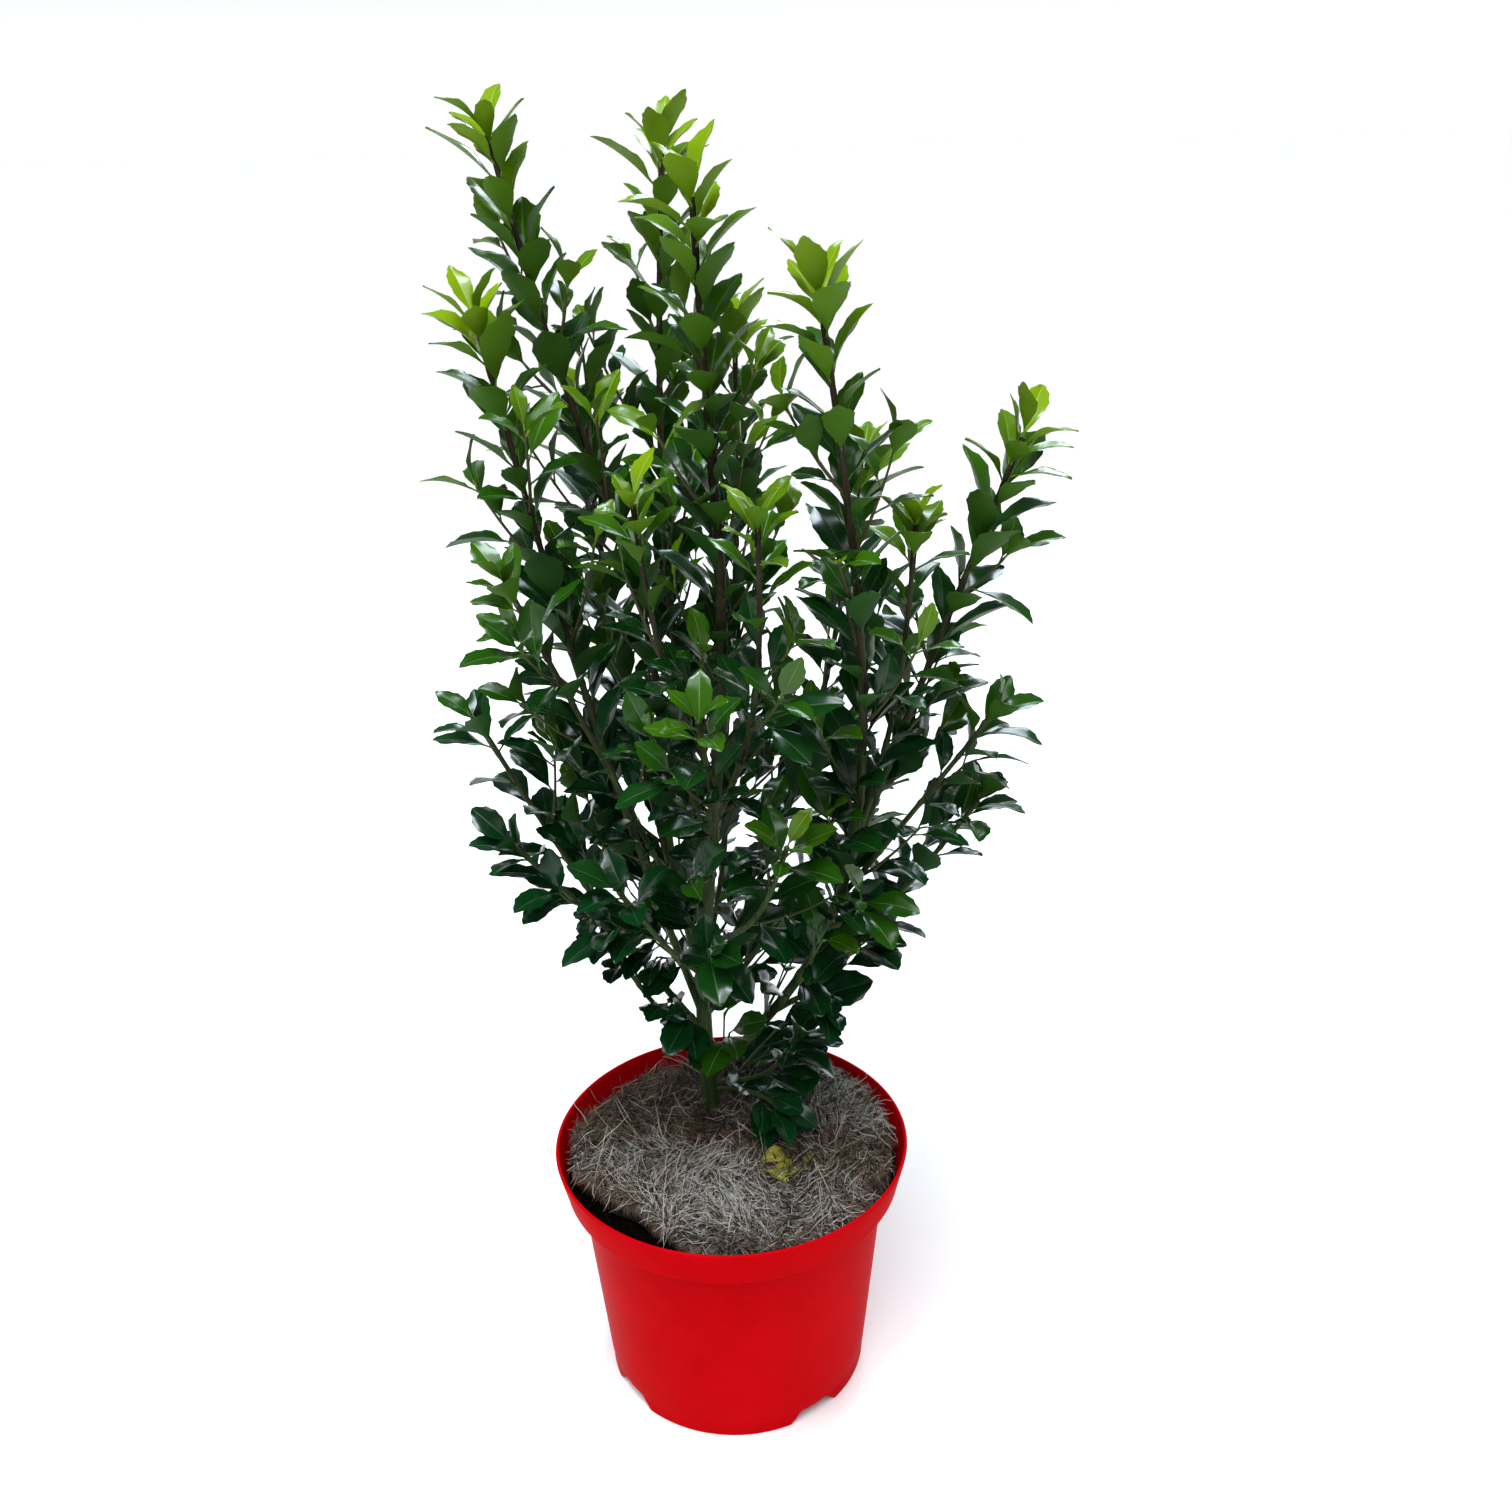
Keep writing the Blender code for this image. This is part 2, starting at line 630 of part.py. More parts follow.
def grow_twigs(name, stem, longest, growth, rng, own):
    """Side twigs by the golden angle, shorter towards the stem's tip, each bending up to the light."""
    azimuth = rng.uniform(0, math.tau)
    twigs = []
    distance = TWIG_STEP * 0.45
    while longest and distance < stem.length - TWIG_FREE_TIP:
        root, axis = stem.at(distance)
        rise = (axis + UP * TWIG_LIGHT).normalized() * TWIG_RISE
        azimuth += GOLDEN_ANGLE
        for attempt in range(TWIG_TRIES):
            turn = azimuth + attempt * TWIG_TRY_TURN * (-1) ** attempt
            along, _ = leaving(axis, turn, TWIG_ANGLE)
            length = min(longest, TWIG_TAPER * (stem.length - distance))
            length *= rng.uniform(0.8, 1.1) * (1 - TWIG_TRY_SHRINK * attempt)
            line = [root, root + (along / 2 + rise / 5) * length, root + (along + rise) * length]
            twig = Path(tapered(line, TWIG_RADIUS, TWIG_TIP_RADIUS, 3))
            tree = tube_tree(twig.pairs)
            fits = clears_pot(line[1:]) and growth.is_own_space(name, line[1:])
            if fits and growth.is_free(tree, line[1], length, own):
                twigs.append((twig, growth.place(tree, line[1], length)))
                break
        distance += TWIG_STEP * rng.uniform(0.85, 1.15)
    return twigs


def keep_largest_shell(mesh):
    """Keeps the largest closed shell, so that scraps go and sealed hollows are filled."""
    bm = bmesh.new()
    bm.from_mesh(mesh)
    left, bodies = set(bm.verts), []
    while left:
        body, front = set(), {left.pop()}
        while front:
            v = front.pop()
            body.add(v)
            front |= {e.other_vert(v) for e in v.link_edges} - body
        left -= body
        bodies.append(body)
    keep = max(bodies, key=len)
    bmesh.ops.delete(bm, geom=[v for v in bm.verts if v not in keep], context="VERTS")
    bm.to_mesh(mesh)
    bm.free()


def grow_mass(name, stem, longest, growth, seed, collection, cutters, look, seat=None):
    """A stem, its twigs and their leaves, fused into one solid. Returns the number of leaves."""
    rng = random.Random(seed)
    middle = stem.points[len(stem.points) // 2]
    own = growth.place(tube_tree(stem.pairs), middle, stem.length)
    twigs = grow_twigs(name, stem, longest, growth, rng, own)
    bm = bmesh.new()
    count = grow_leaves(bm, name, stem, growth, rng, own, LEAF_STEP, TIP_LEAVES)
    for twig, index in twigs:
        count += grow_leaves(bm, name, twig, growth, rng, index, TWIG_LEAF_STEP, TWIG_TIP_LEAVES)

    body = swept("mass_" + name, [stem.pairs], STEM_SIDES, collection, cutters, look)
    if seat is not None:
        cut(body, [seat])
    pieces = new_collection("pieces_of_" + name)
    if twigs:
        swept("twigs_of_" + name, [twig.pairs for twig, _ in twigs], TWIG_SIDES, pieces, cutters)
    add_object("leaves_of_" + name, mesh_of("leaves", bm), pieces)
    join = body.modifiers.new("join", "BOOLEAN")
    join.operation = "UNION"
    join.operand_type = "COLLECTION"
    join.collection = pieces
    join.solver = "MANIFOLD"
    body.data = baked(body)
    body.modifiers.clear()
    body.data.materials.clear()
    body.data.materials.append(look)
    for piece in list(pieces.objects):
        bpy.data.objects.remove(piece)
    bpy.data.collections.remove(pieces)
    keep_largest_shell(body.data)
    return count


def seat_cutter(name, parent_path, sides, cutters):
    """A parent limb made fatter by the gap, which a root that joins it is cut back to."""
    fatter = [(p, r + GAP / math.cos(math.pi / sides)) for p, r in parent_path]
    return swept("seat_for_" + name, [fatter], sides, cutters, cutters)


def past_gap(line):
    """The line with its first point moved on by the gap."""
    return [line[0] + (line[1] - line[0]).normalized() * GAP, *line[1:]]


def make_trunk(line, growth, collection, cutters, look):
    """The trunk from its flat flared foot to the height where its crown mass goes on."""
    ground = Vector((*TRUNK_FOOT, 0)) * MM + UP * (SOIL_TOP + GAP)
    rising = split_at(line, SOIL_TOP + FLARE_HEIGHT)[1]
    points = [ground, ground + UP * FLARE_HEIGHT / 3, *thinned(rising, TRUNK_POINTS)]
    path = [(p, trunk_radius(p.z)) for p in points]
    growth.add_limb(swept("trunk", [path], TRUNK_SIDES, collection, cutters, look))
    return path, TRUNK_SIDES


def make_shrub(holly, cutters, green_bark, brown_bark, foliage):
    """Trunk, boughs and basal shoots first, then the masses, which keep clear of all of them."""
    growth = Growth()
    lines = {"trunk": trunk_line()}
    below, crown = split_at(lines["trunk"], TRUNK_TOP * MM)
    limbs = {"trunk": make_trunk(below, growth, holly, cutters, green_bark)}
    crown_stem = [(p, trunk_radius(p.z)) for p in thinned(past_gap(crown), STEM_POINTS)]
    stems = {"crown": (Path(crown_stem), CROWN_TWIG, None)}
    for name, limb in LIMBS.items():
        lines[name] = limb_line(limb, lines[limb.parent])
        low, high = split_at(lines[name], limb.mass_from * MM)
        split = limb_radius(limb, len(low) / len(lines[name]))
        limbs[name] = (tapered(low, limb_radius(limb, 0), split, BOUGH_POINTS), BOUGH_SIDES)
        bough = swept("bough_" + name, [limbs[name][0]], BOUGH_SIDES, holly, cutters, brown_bark)
        cut(bough, [seat_cutter(name, *limbs[limb.parent], cutters)])
        growth.add_limb(bough)
        stem = tapered(past_gap(high), split, LEADER_TIP_RADIUS, STEM_POINTS)
        stems[name] = (Path(stem), limb.twig * MM, None)
    for name, limb in BASAL_SHOOTS.items():
        line = limb_line(limb, lines[limb.parent])
        stem = tapered(line, limb_radius(limb, 0), LEADER_TIP_RADIUS, SHOOT_POINTS)
        stems[name] = (Path(stem), limb.twig * MM, limb.parent)

    for name, (stem, _, _) in stems.items():
        growth.lines[name] = np.array([list(p) for p in flowing(stem.points, CELL_POINTS)])
    leaves = 0
    for seed, (name, (stem, longest, parent)) in enumerate(stems.items(), FIRST_SEED):
        seat = seat_cutter(name, *limbs[parent], cutters) if parent else None
        leaves += grow_mass(name, stem, longest, growth, seed, holly, cutters, foliage, seat)
    print("leaves", leaves)


clear_scene()
holly = new_collection("potted_holly")
cutters = new_collection("cutters", hidden=True)
make_pot(holly, cutters, material("red_plastic", (0.75, 0.01, 0.015), 0.4))
make_root_ball(holly, material("soil", (0.03, 0.02, 0.015), 0.95))
make_fibre_mat(holly, material("grey_fibre", (0.33, 0.28, 0.22), 0.95))
make_shrub(
    holly,
    cutters,
    material("green_bark", (0.16, 0.27, 0.09), 0.6),
    material("brown_bark", (0.13, 0.07, 0.05), 0.55),
    material("holly_leaf", (0.04, 0.16, 0.04), 0.25),
)
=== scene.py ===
import json
import math
import random
from collections import namedtuple

import bmesh
import bpy
import numpy as np
from mathutils import Matrix, Vector
from mathutils.bvhtree import BVHTree

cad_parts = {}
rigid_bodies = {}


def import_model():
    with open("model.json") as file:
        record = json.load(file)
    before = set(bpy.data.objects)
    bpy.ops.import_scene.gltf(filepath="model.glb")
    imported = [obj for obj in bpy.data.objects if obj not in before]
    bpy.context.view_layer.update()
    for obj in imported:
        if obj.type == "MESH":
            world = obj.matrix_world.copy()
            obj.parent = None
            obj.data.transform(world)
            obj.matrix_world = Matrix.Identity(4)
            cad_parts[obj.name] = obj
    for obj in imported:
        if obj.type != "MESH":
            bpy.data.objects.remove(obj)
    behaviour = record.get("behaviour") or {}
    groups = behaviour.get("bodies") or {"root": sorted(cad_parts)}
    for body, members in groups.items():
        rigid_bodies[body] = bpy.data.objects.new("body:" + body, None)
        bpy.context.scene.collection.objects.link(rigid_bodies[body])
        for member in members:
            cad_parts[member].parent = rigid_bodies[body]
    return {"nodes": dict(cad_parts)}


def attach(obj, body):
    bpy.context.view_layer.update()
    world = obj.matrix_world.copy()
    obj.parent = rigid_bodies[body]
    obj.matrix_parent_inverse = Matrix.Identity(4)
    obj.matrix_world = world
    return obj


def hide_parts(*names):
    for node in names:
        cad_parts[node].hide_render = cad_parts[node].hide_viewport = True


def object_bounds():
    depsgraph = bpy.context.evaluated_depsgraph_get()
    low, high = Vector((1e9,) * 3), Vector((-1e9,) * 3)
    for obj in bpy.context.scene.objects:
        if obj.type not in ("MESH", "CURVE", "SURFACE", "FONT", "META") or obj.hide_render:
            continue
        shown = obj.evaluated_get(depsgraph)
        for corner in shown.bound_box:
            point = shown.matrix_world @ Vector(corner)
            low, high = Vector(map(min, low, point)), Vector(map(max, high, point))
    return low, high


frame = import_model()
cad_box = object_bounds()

# Pot
# A thin injection-moulded nursery pot of red polypropylene: a tapering body, a stepped collar with a
# rounded lip, a foot ring opened by four notches and a raised floor ring with drainage holes.

MM = 0.001
POT_HEIGHT = 0.1654
RIM_RADIUS = 0.1100
LIP_ROUND = 0.0011
COLLAR_FOOT = POT_HEIGHT - 0.0244
COLLAR_FOOT_RADIUS = 0.1049
COLLAR_ROUND = 0.0008
COLLAR_STEP = 0.0004
BODY_TOP = COLLAR_FOOT - 0.0034
BODY_TOP_RADIUS = 0.0958
FOOT_RADIUS = 0.0828
WALL = 0.0018
FOOT_RING = 0.0026
FOOT_EDGE = 0.0006
FOOT_INNER_EDGE = 0.0004
FOOT_LEAN = 0.0001
FLOOR_RISE = 0.0086
FLOOR_CORNER = 0.0010
PAD_RADIUS = 0.0540
PAD_SLOPE = 0.0030
AXIS_HOLE = 0.0001
# how far the wall stands outside the foot's radius, and at what height
FOOT_FLARE = ((0.0010, 0.0124), (0.0006, 0.0098))
NOTCH_FIRST = math.radians(-54)
NOTCH_COUNT = 4
NOTCH_WIDTH_BELOW = math.radians(24.5)
NOTCH_WIDTH_ABOVE = math.radians(14.0)
NOTCH_HEIGHT = 0.0080
POT_COLUMNS = 432
POT_SHARP = 34
DRAIN_COUNT = 8
DRAIN_RADIUS = 0.0045
DRAIN_CIRCLE = 0.0680
DRILL_LENGTH = 0.012
NOISE_ROUGHNESS = 0.55


class Flow:
    """A value that a material's nodes work out. Arithmetic on it adds Math nodes."""

    def __init__(self, paint, socket):
        self.paint = paint
        self.socket = socket

    def math(self, operation, other):
        return self.paint.node("ShaderNodeMath", {"operation": operation}, {0: self, 1: other})

    def __add__(self, other):
        return self.math("ADD", other)

    def __mul__(self, other):
        return self.math("MULTIPLY", other)

    __radd__ = __add__
    __rmul__ = __mul__

    def clamped(self, low, high):
        """0 at low, 1 at high, and straight between."""
        inputs = {0: self, 1: low, 2: high, 3: 0.0, 4: 1.0}
        return self.paint.node("ShaderNodeMapRange", {"clamp": True}, inputs)


class Paint:
    """A material, or the world, with one shader whose constants are set on the shader's own sockets."""

    def __init__(self, name, owner=bpy.data.materials, shader="Principled BSDF", **constants):
        self.material = owner.new(name)
        self.material.use_nodes = True
        self.tree = self.material.node_tree
        self.shader = self.tree.nodes[shader]
        for socket, value in constants.items():
            socket = socket.replace("_", " ").title().replace("Ior", "IOR")
            self.feed(self.shader.inputs[socket], value)

    def node(self, kind, settings=None, inputs=None, output=0):
        made = self.tree.nodes.new(kind)
        for key, value in (settings or {}).items():
            setattr(made, key, value)
        for key, value in (inputs or {}).items():
            self.feed(made.inputs[key], value)
        return Flow(self, made.outputs[output])

    def feed(self, socket, value):
        """Links a worked-out value to a socket, or sets a constant on it. A colour gets its alpha."""
        if isinstance(value, Flow):
            self.tree.links.new(value.socket, socket)
        else:
            socket.default_value = (*value, 1) if socket.type == "RGBA" else value

    def place(self):
        """The place on the object, in metres."""
        return self.node("ShaderNodeTexCoord", output="Object")

    def noise(self, scale, detail, place=None):
        inputs = {"Vector": place or self.place(), "Scale": scale, "Detail": detail}
        return self.node("ShaderNodeTexNoise", {}, {**inputs, "Roughness": NOISE_ROUGHNESS})

    def height(self, place=None):
        """The height of the place above the ground, in metres."""
        return self.node("ShaderNodeSeparateXYZ", {}, {0: place or self.place()}, "Z")

    def stretched(self, x, y, z):
        """The place with each axis scaled, for streaks."""
        return self.node("ShaderNodeMapping", {}, {"Vector": self.place(), "Scale": (x, y, z)})

    def mixed(self, share, first, second):
        """A colour between two colours."""
        return self.node("ShaderNodeMix", {"data_type": "RGBA"}, {0: share, 6: first, 7: second}, 2)

    def colour(self, value):
        self.feed(self.shader.inputs["Base Color"], value)

    def roughness(self, value):
        self.feed(self.shader.inputs["Roughness"], value)

    def bump(self, height, depth):
        """Relief whose full height is the depth in metres."""
        inputs = {"Height": height, "Distance": depth, "Strength": 1.0}
        self.feed(self.shader.inputs["Normal"], self.node("ShaderNodeBump", {}, inputs))


def grid_quads(rows, columns, closed=False):
    """Four-sided faces between rings of points. A closed grid joins its last ring to its first."""
    at = np.arange(rows * columns).reshape(rows, columns)
    at = np.concatenate([at, at[:, :1]], axis=1)
    if closed:
        at = np.concatenate([at, at[:1]])
    return np.stack([at[:-1, :-1], at[:-1, 1:], at[1:, 1:], at[1:, :-1]], -1).reshape(-1, 4)


def tube_faces(count, rows, sides, first=0):
    """The side faces and the two end caps of tubes that follow each other in one array of points."""
    starts = first + rows * sides * np.arange(count)
    quads = (grid_quads(rows, sides) + starts[:, None, None]).reshape(-1, 4)
    ring = np.arange(sides)
    caps = [starts[:, None] + ring[::-1], starts[:, None] + (rows - 1) * sides + ring]
    return quads.tolist() + [face for cap in caps for face in cap.tolist()]


def put(name, data):
    """A new object in the scene that holds the data."""
    made = bpy.data.objects.new(name, data)
    bpy.context.scene.collection.objects.link(made)
    return made


def make_piece(name, points, faces, looks, replaced=(), which=None, sharp=40):
    """A smooth mesh piece on the body root, sharp where its faces meet at more than sharp degrees."""
    mesh = bpy.data.meshes.new(name)
    mesh.from_pydata(np.asarray(points).reshape(-1, 3).tolist(), [], faces)
    for look in looks:
        mesh.materials.append(look.material)
    if which is not None:
        mesh.polygons.foreach_set("material_index", np.asarray(which, np.int32))
    mesh.shade_smooth()
    mesh.set_sharp_from_angle(angle=math.radians(sharp))
    mesh.update()
    made = put(name, mesh)
    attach(made, "root")
    if replaced:
        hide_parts(*replaced)
    return made


def face_outwards(made):
    """Turns every face of a closed piece to the outside."""
    bm = bmesh.new()
    bm.from_mesh(made.data)
    bmesh.ops.recalc_face_normals(bm, faces=bm.faces)
    bm.to_mesh(made.data)
    bm.free()


def foot_height(angle):
    """Height of the foot ring's lower edge: 0 on a foot, rising along a slope to a notch's flat top."""
    turn = math.tau / NOTCH_COUNT
    away = np.abs((angle - NOTCH_FIRST + turn / 2) % turn - turn / 2)
    slope = (NOTCH_WIDTH_BELOW - NOTCH_WIDTH_ABOVE) / 2
    return NOTCH_HEIGHT * np.clip((NOTCH_WIDTH_BELOW / 2 - away) / slope, 0, 1)


def arc(centre, radius, start, end, count):
    """Points on a circle's arc in the plane of radius and height, from one angle to another in degrees."""
    turn = np.radians(np.linspace(start, end, count))
    return [(centre[0] + radius * math.cos(t), centre[1] + radius * math.sin(t)) for t in turn]


def pot_profile():
    """Radius and height down the inside from the floor's middle, over the lip and down the outside."""
    floor = FLOOR_RISE + WALL
    wall_foot = FOOT_RADIUS - WALL + FOOT_EDGE
    inner = [(AXIS_HOLE, WALL), (PAD_RADIUS - WALL, WALL), (PAD_RADIUS + PAD_SLOPE - WALL, floor)]
    inner += [(wall_foot, floor), (wall_foot + FLOOR_CORNER, floor + 2 * WALL)]
    inner += [(BODY_TOP_RADIUS - WALL, BODY_TOP), (COLLAR_FOOT_RADIUS - WALL, COLLAR_FOOT + WALL / 2)]
    lip = arc((RIM_RADIUS - LIP_ROUND, POT_HEIGHT - LIP_ROUND), LIP_ROUND, 180, 0, 9)
    collar_edge = (COLLAR_FOOT_RADIUS - COLLAR_ROUND, COLLAR_FOOT + COLLAR_ROUND)
    outer = arc(collar_edge, COLLAR_ROUND, 10, -80, 5)
    outer += [(BODY_TOP_RADIUS + 4 * COLLAR_STEP, COLLAR_FOOT - COLLAR_STEP / 2)]
    outer += [(BODY_TOP_RADIUS + COLLAR_STEP, COLLAR_FOOT - 3 * COLLAR_STEP)]
    outer += [(BODY_TOP_RADIUS, BODY_TOP - 1.5 * COLLAR_STEP)]
    for share in np.linspace(0.1, 0.9, 9):
        outer.append((BODY_TOP_RADIUS + (FOOT_RADIUS - BODY_TOP_RADIUS) * share, BODY_TOP * (1 - share)))
    outer += [(FOOT_RADIUS + out, height) for out, height in FOOT_FLARE]
    return inner + lip + outer


def pot_points():
    """The profile turned about the upright axis, with the foot ring's edge lifted at the notches."""
    angle = np.linspace(0, math.tau, POT_COLUMNS, endpoint=False)
    foot, ring = foot_height(angle), FOOT_RADIUS - FOOT_RING
    rows = pot_profile() + [(FOOT_RADIUS + FOOT_LEAN, foot + FOOT_EDGE), (FOOT_RADIUS - FOOT_EDGE, foot)]
    rows += [(ring + FOOT_INNER_EDGE, foot), (ring, foot + FOOT_INNER_EDGE), (ring, FLOOR_RISE)]
    rows += [(PAD_RADIUS + PAD_SLOPE, FLOOR_RISE), (PAD_RADIUS, 0), (AXIS_HOLE, 0)]
    turned = [(r * np.cos(angle), r * np.sin(angle), z * np.ones_like(angle)) for r, z in rows]
    return np.moveaxis(np.array(turned), 1, -1)


red_plastic = Paint("red_plastic", roughness=0.42, specular_ior_level=0.006)
mottle = red_plastic.noise(38.0, 4.0)
specks = red_plastic.noise(900.0, 1.0).clamped(0.72, 0.78)
rubbed = red_plastic.noise(9.0, 3.0, red_plastic.stretched(1, 1, 0.35)).clamped(0.45, 0.8)
red = red_plastic.mixed(mottle.clamped(0.3, 0.7), (0.43, 0.0006, 0.0024), (0.49, 0.0008, 0.0036))
red = red_plastic.mixed(rubbed * 0.25, red, (0.54, 0.004, 0.008))
red_plastic.colour(red_plastic.mixed(specks * 0.25, red, (0.66, 0.08, 0.08)))
red_plastic.roughness(mottle * 0.10 + rubbed * 0.08 + 0.34)
red_plastic.bump(red_plastic.noise(420.0, 2.0), 0.00006)

shell = pot_points()
shell_faces = tube_faces(1, len(shell), POT_COLUMNS)
pot = make_piece("pot_shell", shell, shell_faces, [red_plastic], ["pot"])
face_outwards(pot)

drill = bmesh.new()
for k in range(DRAIN_COUNT):
    turn = NOTCH_FIRST + (k + 0.5) * math.tau / DRAIN_COUNT
    place = Matrix.Translation((DRAIN_CIRCLE * math.cos(turn), DRAIN_CIRCLE * math.sin(turn), FLOOR_RISE))
    size = {"segments": 24, "radius1": DRAIN_RADIUS, "radius2": DRAIN_RADIUS, "depth": DRILL_LENGTH}
    bmesh.ops.create_cone(drill, cap_ends=True, matrix=place, **size)
bit = put("drill", bpy.data.meshes.new("drill"))
drill.to_mesh(bit.data)
drill.free()
bore = pot.modifiers.new("holes", "BOOLEAN")
bore.operation = "DIFFERENCE"
bore.solver = "MANIFOLD"
bore.object = bit
bored = bpy.data.meshes.new_from_object(pot.evaluated_get(bpy.context.evaluated_depsgraph_get()))
pot.modifiers.clear()
pot.data = bored
bpy.data.objects.remove(bit)
pot.data.shade_smooth()
pot.data.set_sharp_from_angle(angle=math.radians(POT_SHARP))

# Potting compost
# Dark moist peat compost with bits of bark, seen in the slit at the front left between mat and pot.
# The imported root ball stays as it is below, and a crumbly top of small broken lumps lies on it.

SOIL_TOP = 0.1450
CRUMBS = 1500
CRUMB_REACH = 0.1005
CRUMB_SIZES = (0.0006, 0.0021)
CUBE_FACES = np.array([(0, 1, 3, 2), (4, 6, 7, 5), (0, 4, 5, 1), (2, 3, 7, 6), (0, 2, 6, 4), (1, 5, 7, 3)])

soil = Paint("dark_compost", roughness=0.95, specular_ior_level=0.0)
grain = soil.noise(260.0, 5.0)
soil.colour(soil.mixed(grain.clamped(0.35, 0.7), (0.0008, 0.0006, 0.0005), (0.0045, 0.0030, 0.0023)))
soil.bump(grain, 0.0012)
frame["nodes"]["root_ball"].data.materials.clear()
frame["nodes"]["root_ball"].data.materials.append(soil.material)

# Each crumb is a cube whose eight corners are moved by chance
chance = np.random.default_rng(5)
spin = chance.uniform(0, math.tau, CRUMBS)
away = CRUMB_REACH * np.sqrt(chance.uniform(0.35, 1, CRUMBS))
crumb_size = chance.uniform(*CRUMB_SIZES, CRUMBS) * chance.uniform(0.5, 1, CRUMBS)
crumb_at = np.stack([away * np.cos(spin), away * np.sin(spin), SOIL_TOP + crumb_size * 0.2], -1)
corners = np.array([(x, y, z) for x in (-1, 1) for y in (-1, 1) for z in (-1, 1)])
shaped = corners * chance.uniform(0.45, 1.0, (CRUMBS, 8, 3))
crumbs = crumb_at[:, None] + shaped * crumb_size[:, None, None]
crumb_faces = (CUBE_FACES + 8 * np.arange(CRUMBS)[:, None, None]).reshape(-1, 4).tolist()
make_piece("compost_crumbs", crumbs, crumb_faces, [soil], sharp=20)

# Fibre mat
# A trimmed disc of needled coir and hemp fibre that keeps weeds down. It has a round hole for the
# stem and a straight cut at the front left, and thousands of loose curling fibres lie over it.

GAP = 0.0003
MAT_RADIUS = 0.1000
MAT_THICKNESS = 0.0110
MAT_LIFT = 0.0036
MAT_SAG = 0.0026
MAT_WAVE = 0.0012
MAT_DIP = 0.0025
MAT_DIP_REACH = 0.0346
MAT_CUT_ANGLE = math.radians(-131.5)
MAT_CUT_DISTANCE = 0.0830
MAT_HOLE_RADIUS = 0.0125
MAT_ROUNDING = 0.0035
MAT_NAP = 0.0007
TRUNK_FOOT = np.array([-0.013, 0.047])
MAT_SIDES = 260
MAT_RINGS = 34
FIBRE_POINTS = 6
FIBRE_SIDES = 3
FIBRE_LIMIT = 0.1050
FIBRE_SHORTEST = 0.25
FIBRE_STRAY, FIBRE_BEND, FIBRE_CURL = 1.0, 0.9, 1.2
FIBRE_HEIGHTS = (-0.0006, 0.0020)
EDGE_FALL = 0.006
FRINGE_REACH = (0.0010, 0.0045)
FRINGE_FALL = (0.002, 0.009)
FRINGE_BACK = (0.001, 0.004)
FRINGE_HEIGHTS = (-0.003, 0.001)
FRINGE_THICKNESS = (0.00016, 0.00030)
FRINGE_LIMIT = 0.1045
FRINGE_AT_CUT = 0.72
FRINGE_SPREAD = 0.62

# Each mound and hollow of the loose top: height, middle, and reach along x and y, in metres
MOUNDS = (
    (0.0062, (-0.012, -0.026), (0.036, 0.022)),
    (0.0030, (0.072, 0.046), (0.026, 0.030)),
    (-0.0046, (0.034, 0.004), (0.018, 0.012)),
    (-0.0016, (-0.055, 0.045), (0.030, 0.030)),
)
# Each bleached place and each darkened place: how pale it is, middle, and reach along x and y.
# The two darkened places lie in the two hollows of the loose top: partly brown fibre, partly
# painted shade in the hollows.
PALE_AND_SHADED_PLACES = (
    (1.0, (-0.010, -0.046), (0.042, 0.040)),
    (0.9, (0.078, 0.040), (0.030, 0.040)),
    (0.75, (-0.066, -0.016), (0.026, 0.018)),
    (0.45, (0.050, -0.066), (0.030, 0.026)),
    (-0.8, (-0.052, 0.046), (0.046, 0.034)),
    (-0.8, (0.034, -0.004), (0.026, 0.020)),
)


def mat_top(x, y):
    """Height of the mat: sunk behind the slit on its left and lifted in front of it, with low waves."""
    in_front = 0.5 + 0.5 * np.tanh((-y - 0.35 * x - 0.012) / 0.012)
    on_left = 0.5 - 0.5 * np.tanh((x + 0.020) / 0.020)
    slit = on_left * (MAT_LIFT * in_front - MAT_SAG * (1 - in_front))
    waves = MAT_WAVE * np.sin(61 * x + 1.0) * np.cos(53 * y - 0.6)
    away = np.hypot(x - TRUNK_FOOT[0], y - TRUNK_FOOT[1])
    return SOIL_TOP + MAT_THICKNESS + slit + waves - MAT_DIP * np.exp(-((away / MAT_DIP_REACH) ** 2))


def bells(x, y, places):
    """The sum of bell curves, each with its height, its middle and its two reaches."""
    total = 0
    for height, middle, reach in places:
        total += height * np.exp(-(((x - middle[0]) / reach[0]) ** 2) - ((y - middle[1]) / reach[1]) ** 2)
    return total


def nap_top(x, y):
    """Height of the mat's loose top: the mat, its mounds and hollows, and two products of sines that
    bend each other, one for tufts and a finer one for locks."""
    tufts = np.sin(190 * x + 3 * np.sin(90 * y)) * np.sin(170 * y + 2 * np.sin(110 * x))
    locks = np.sin(330 * x + 2 * np.sin(150 * y + 1)) * np.sin(290 * y + 3 * np.sin(120 * x))
    return mat_top(x, y) + bells(x, y, MOUNDS) + 0.0023 * tufts + 0.0015 * locks


def mat_edge(angle):
    """Distance of the mat's edge from the pot's axis: a circle cut off by a straight line."""
    turn = np.cos(angle - MAT_CUT_ANGLE)
    ruffle = 0.0012 * np.sin(9 * angle) + 0.0008 * np.sin(17 * angle + 1)
    cut = MAT_CUT_DISTANCE / np.maximum(turn, 0.01)
    return np.minimum(MAT_RADIUS, np.where(turn > 0, cut, 1)) + ruffle


def compass(angle):
    """The level unit vector at each angle: its cosine and its sine."""
    return np.stack([np.cos(angle), np.sin(angle)], -1)


def unit(vectors):
    """Each vector over its own length."""
    return vectors / np.linalg.norm(vectors, axis=-1, keepdims=True)


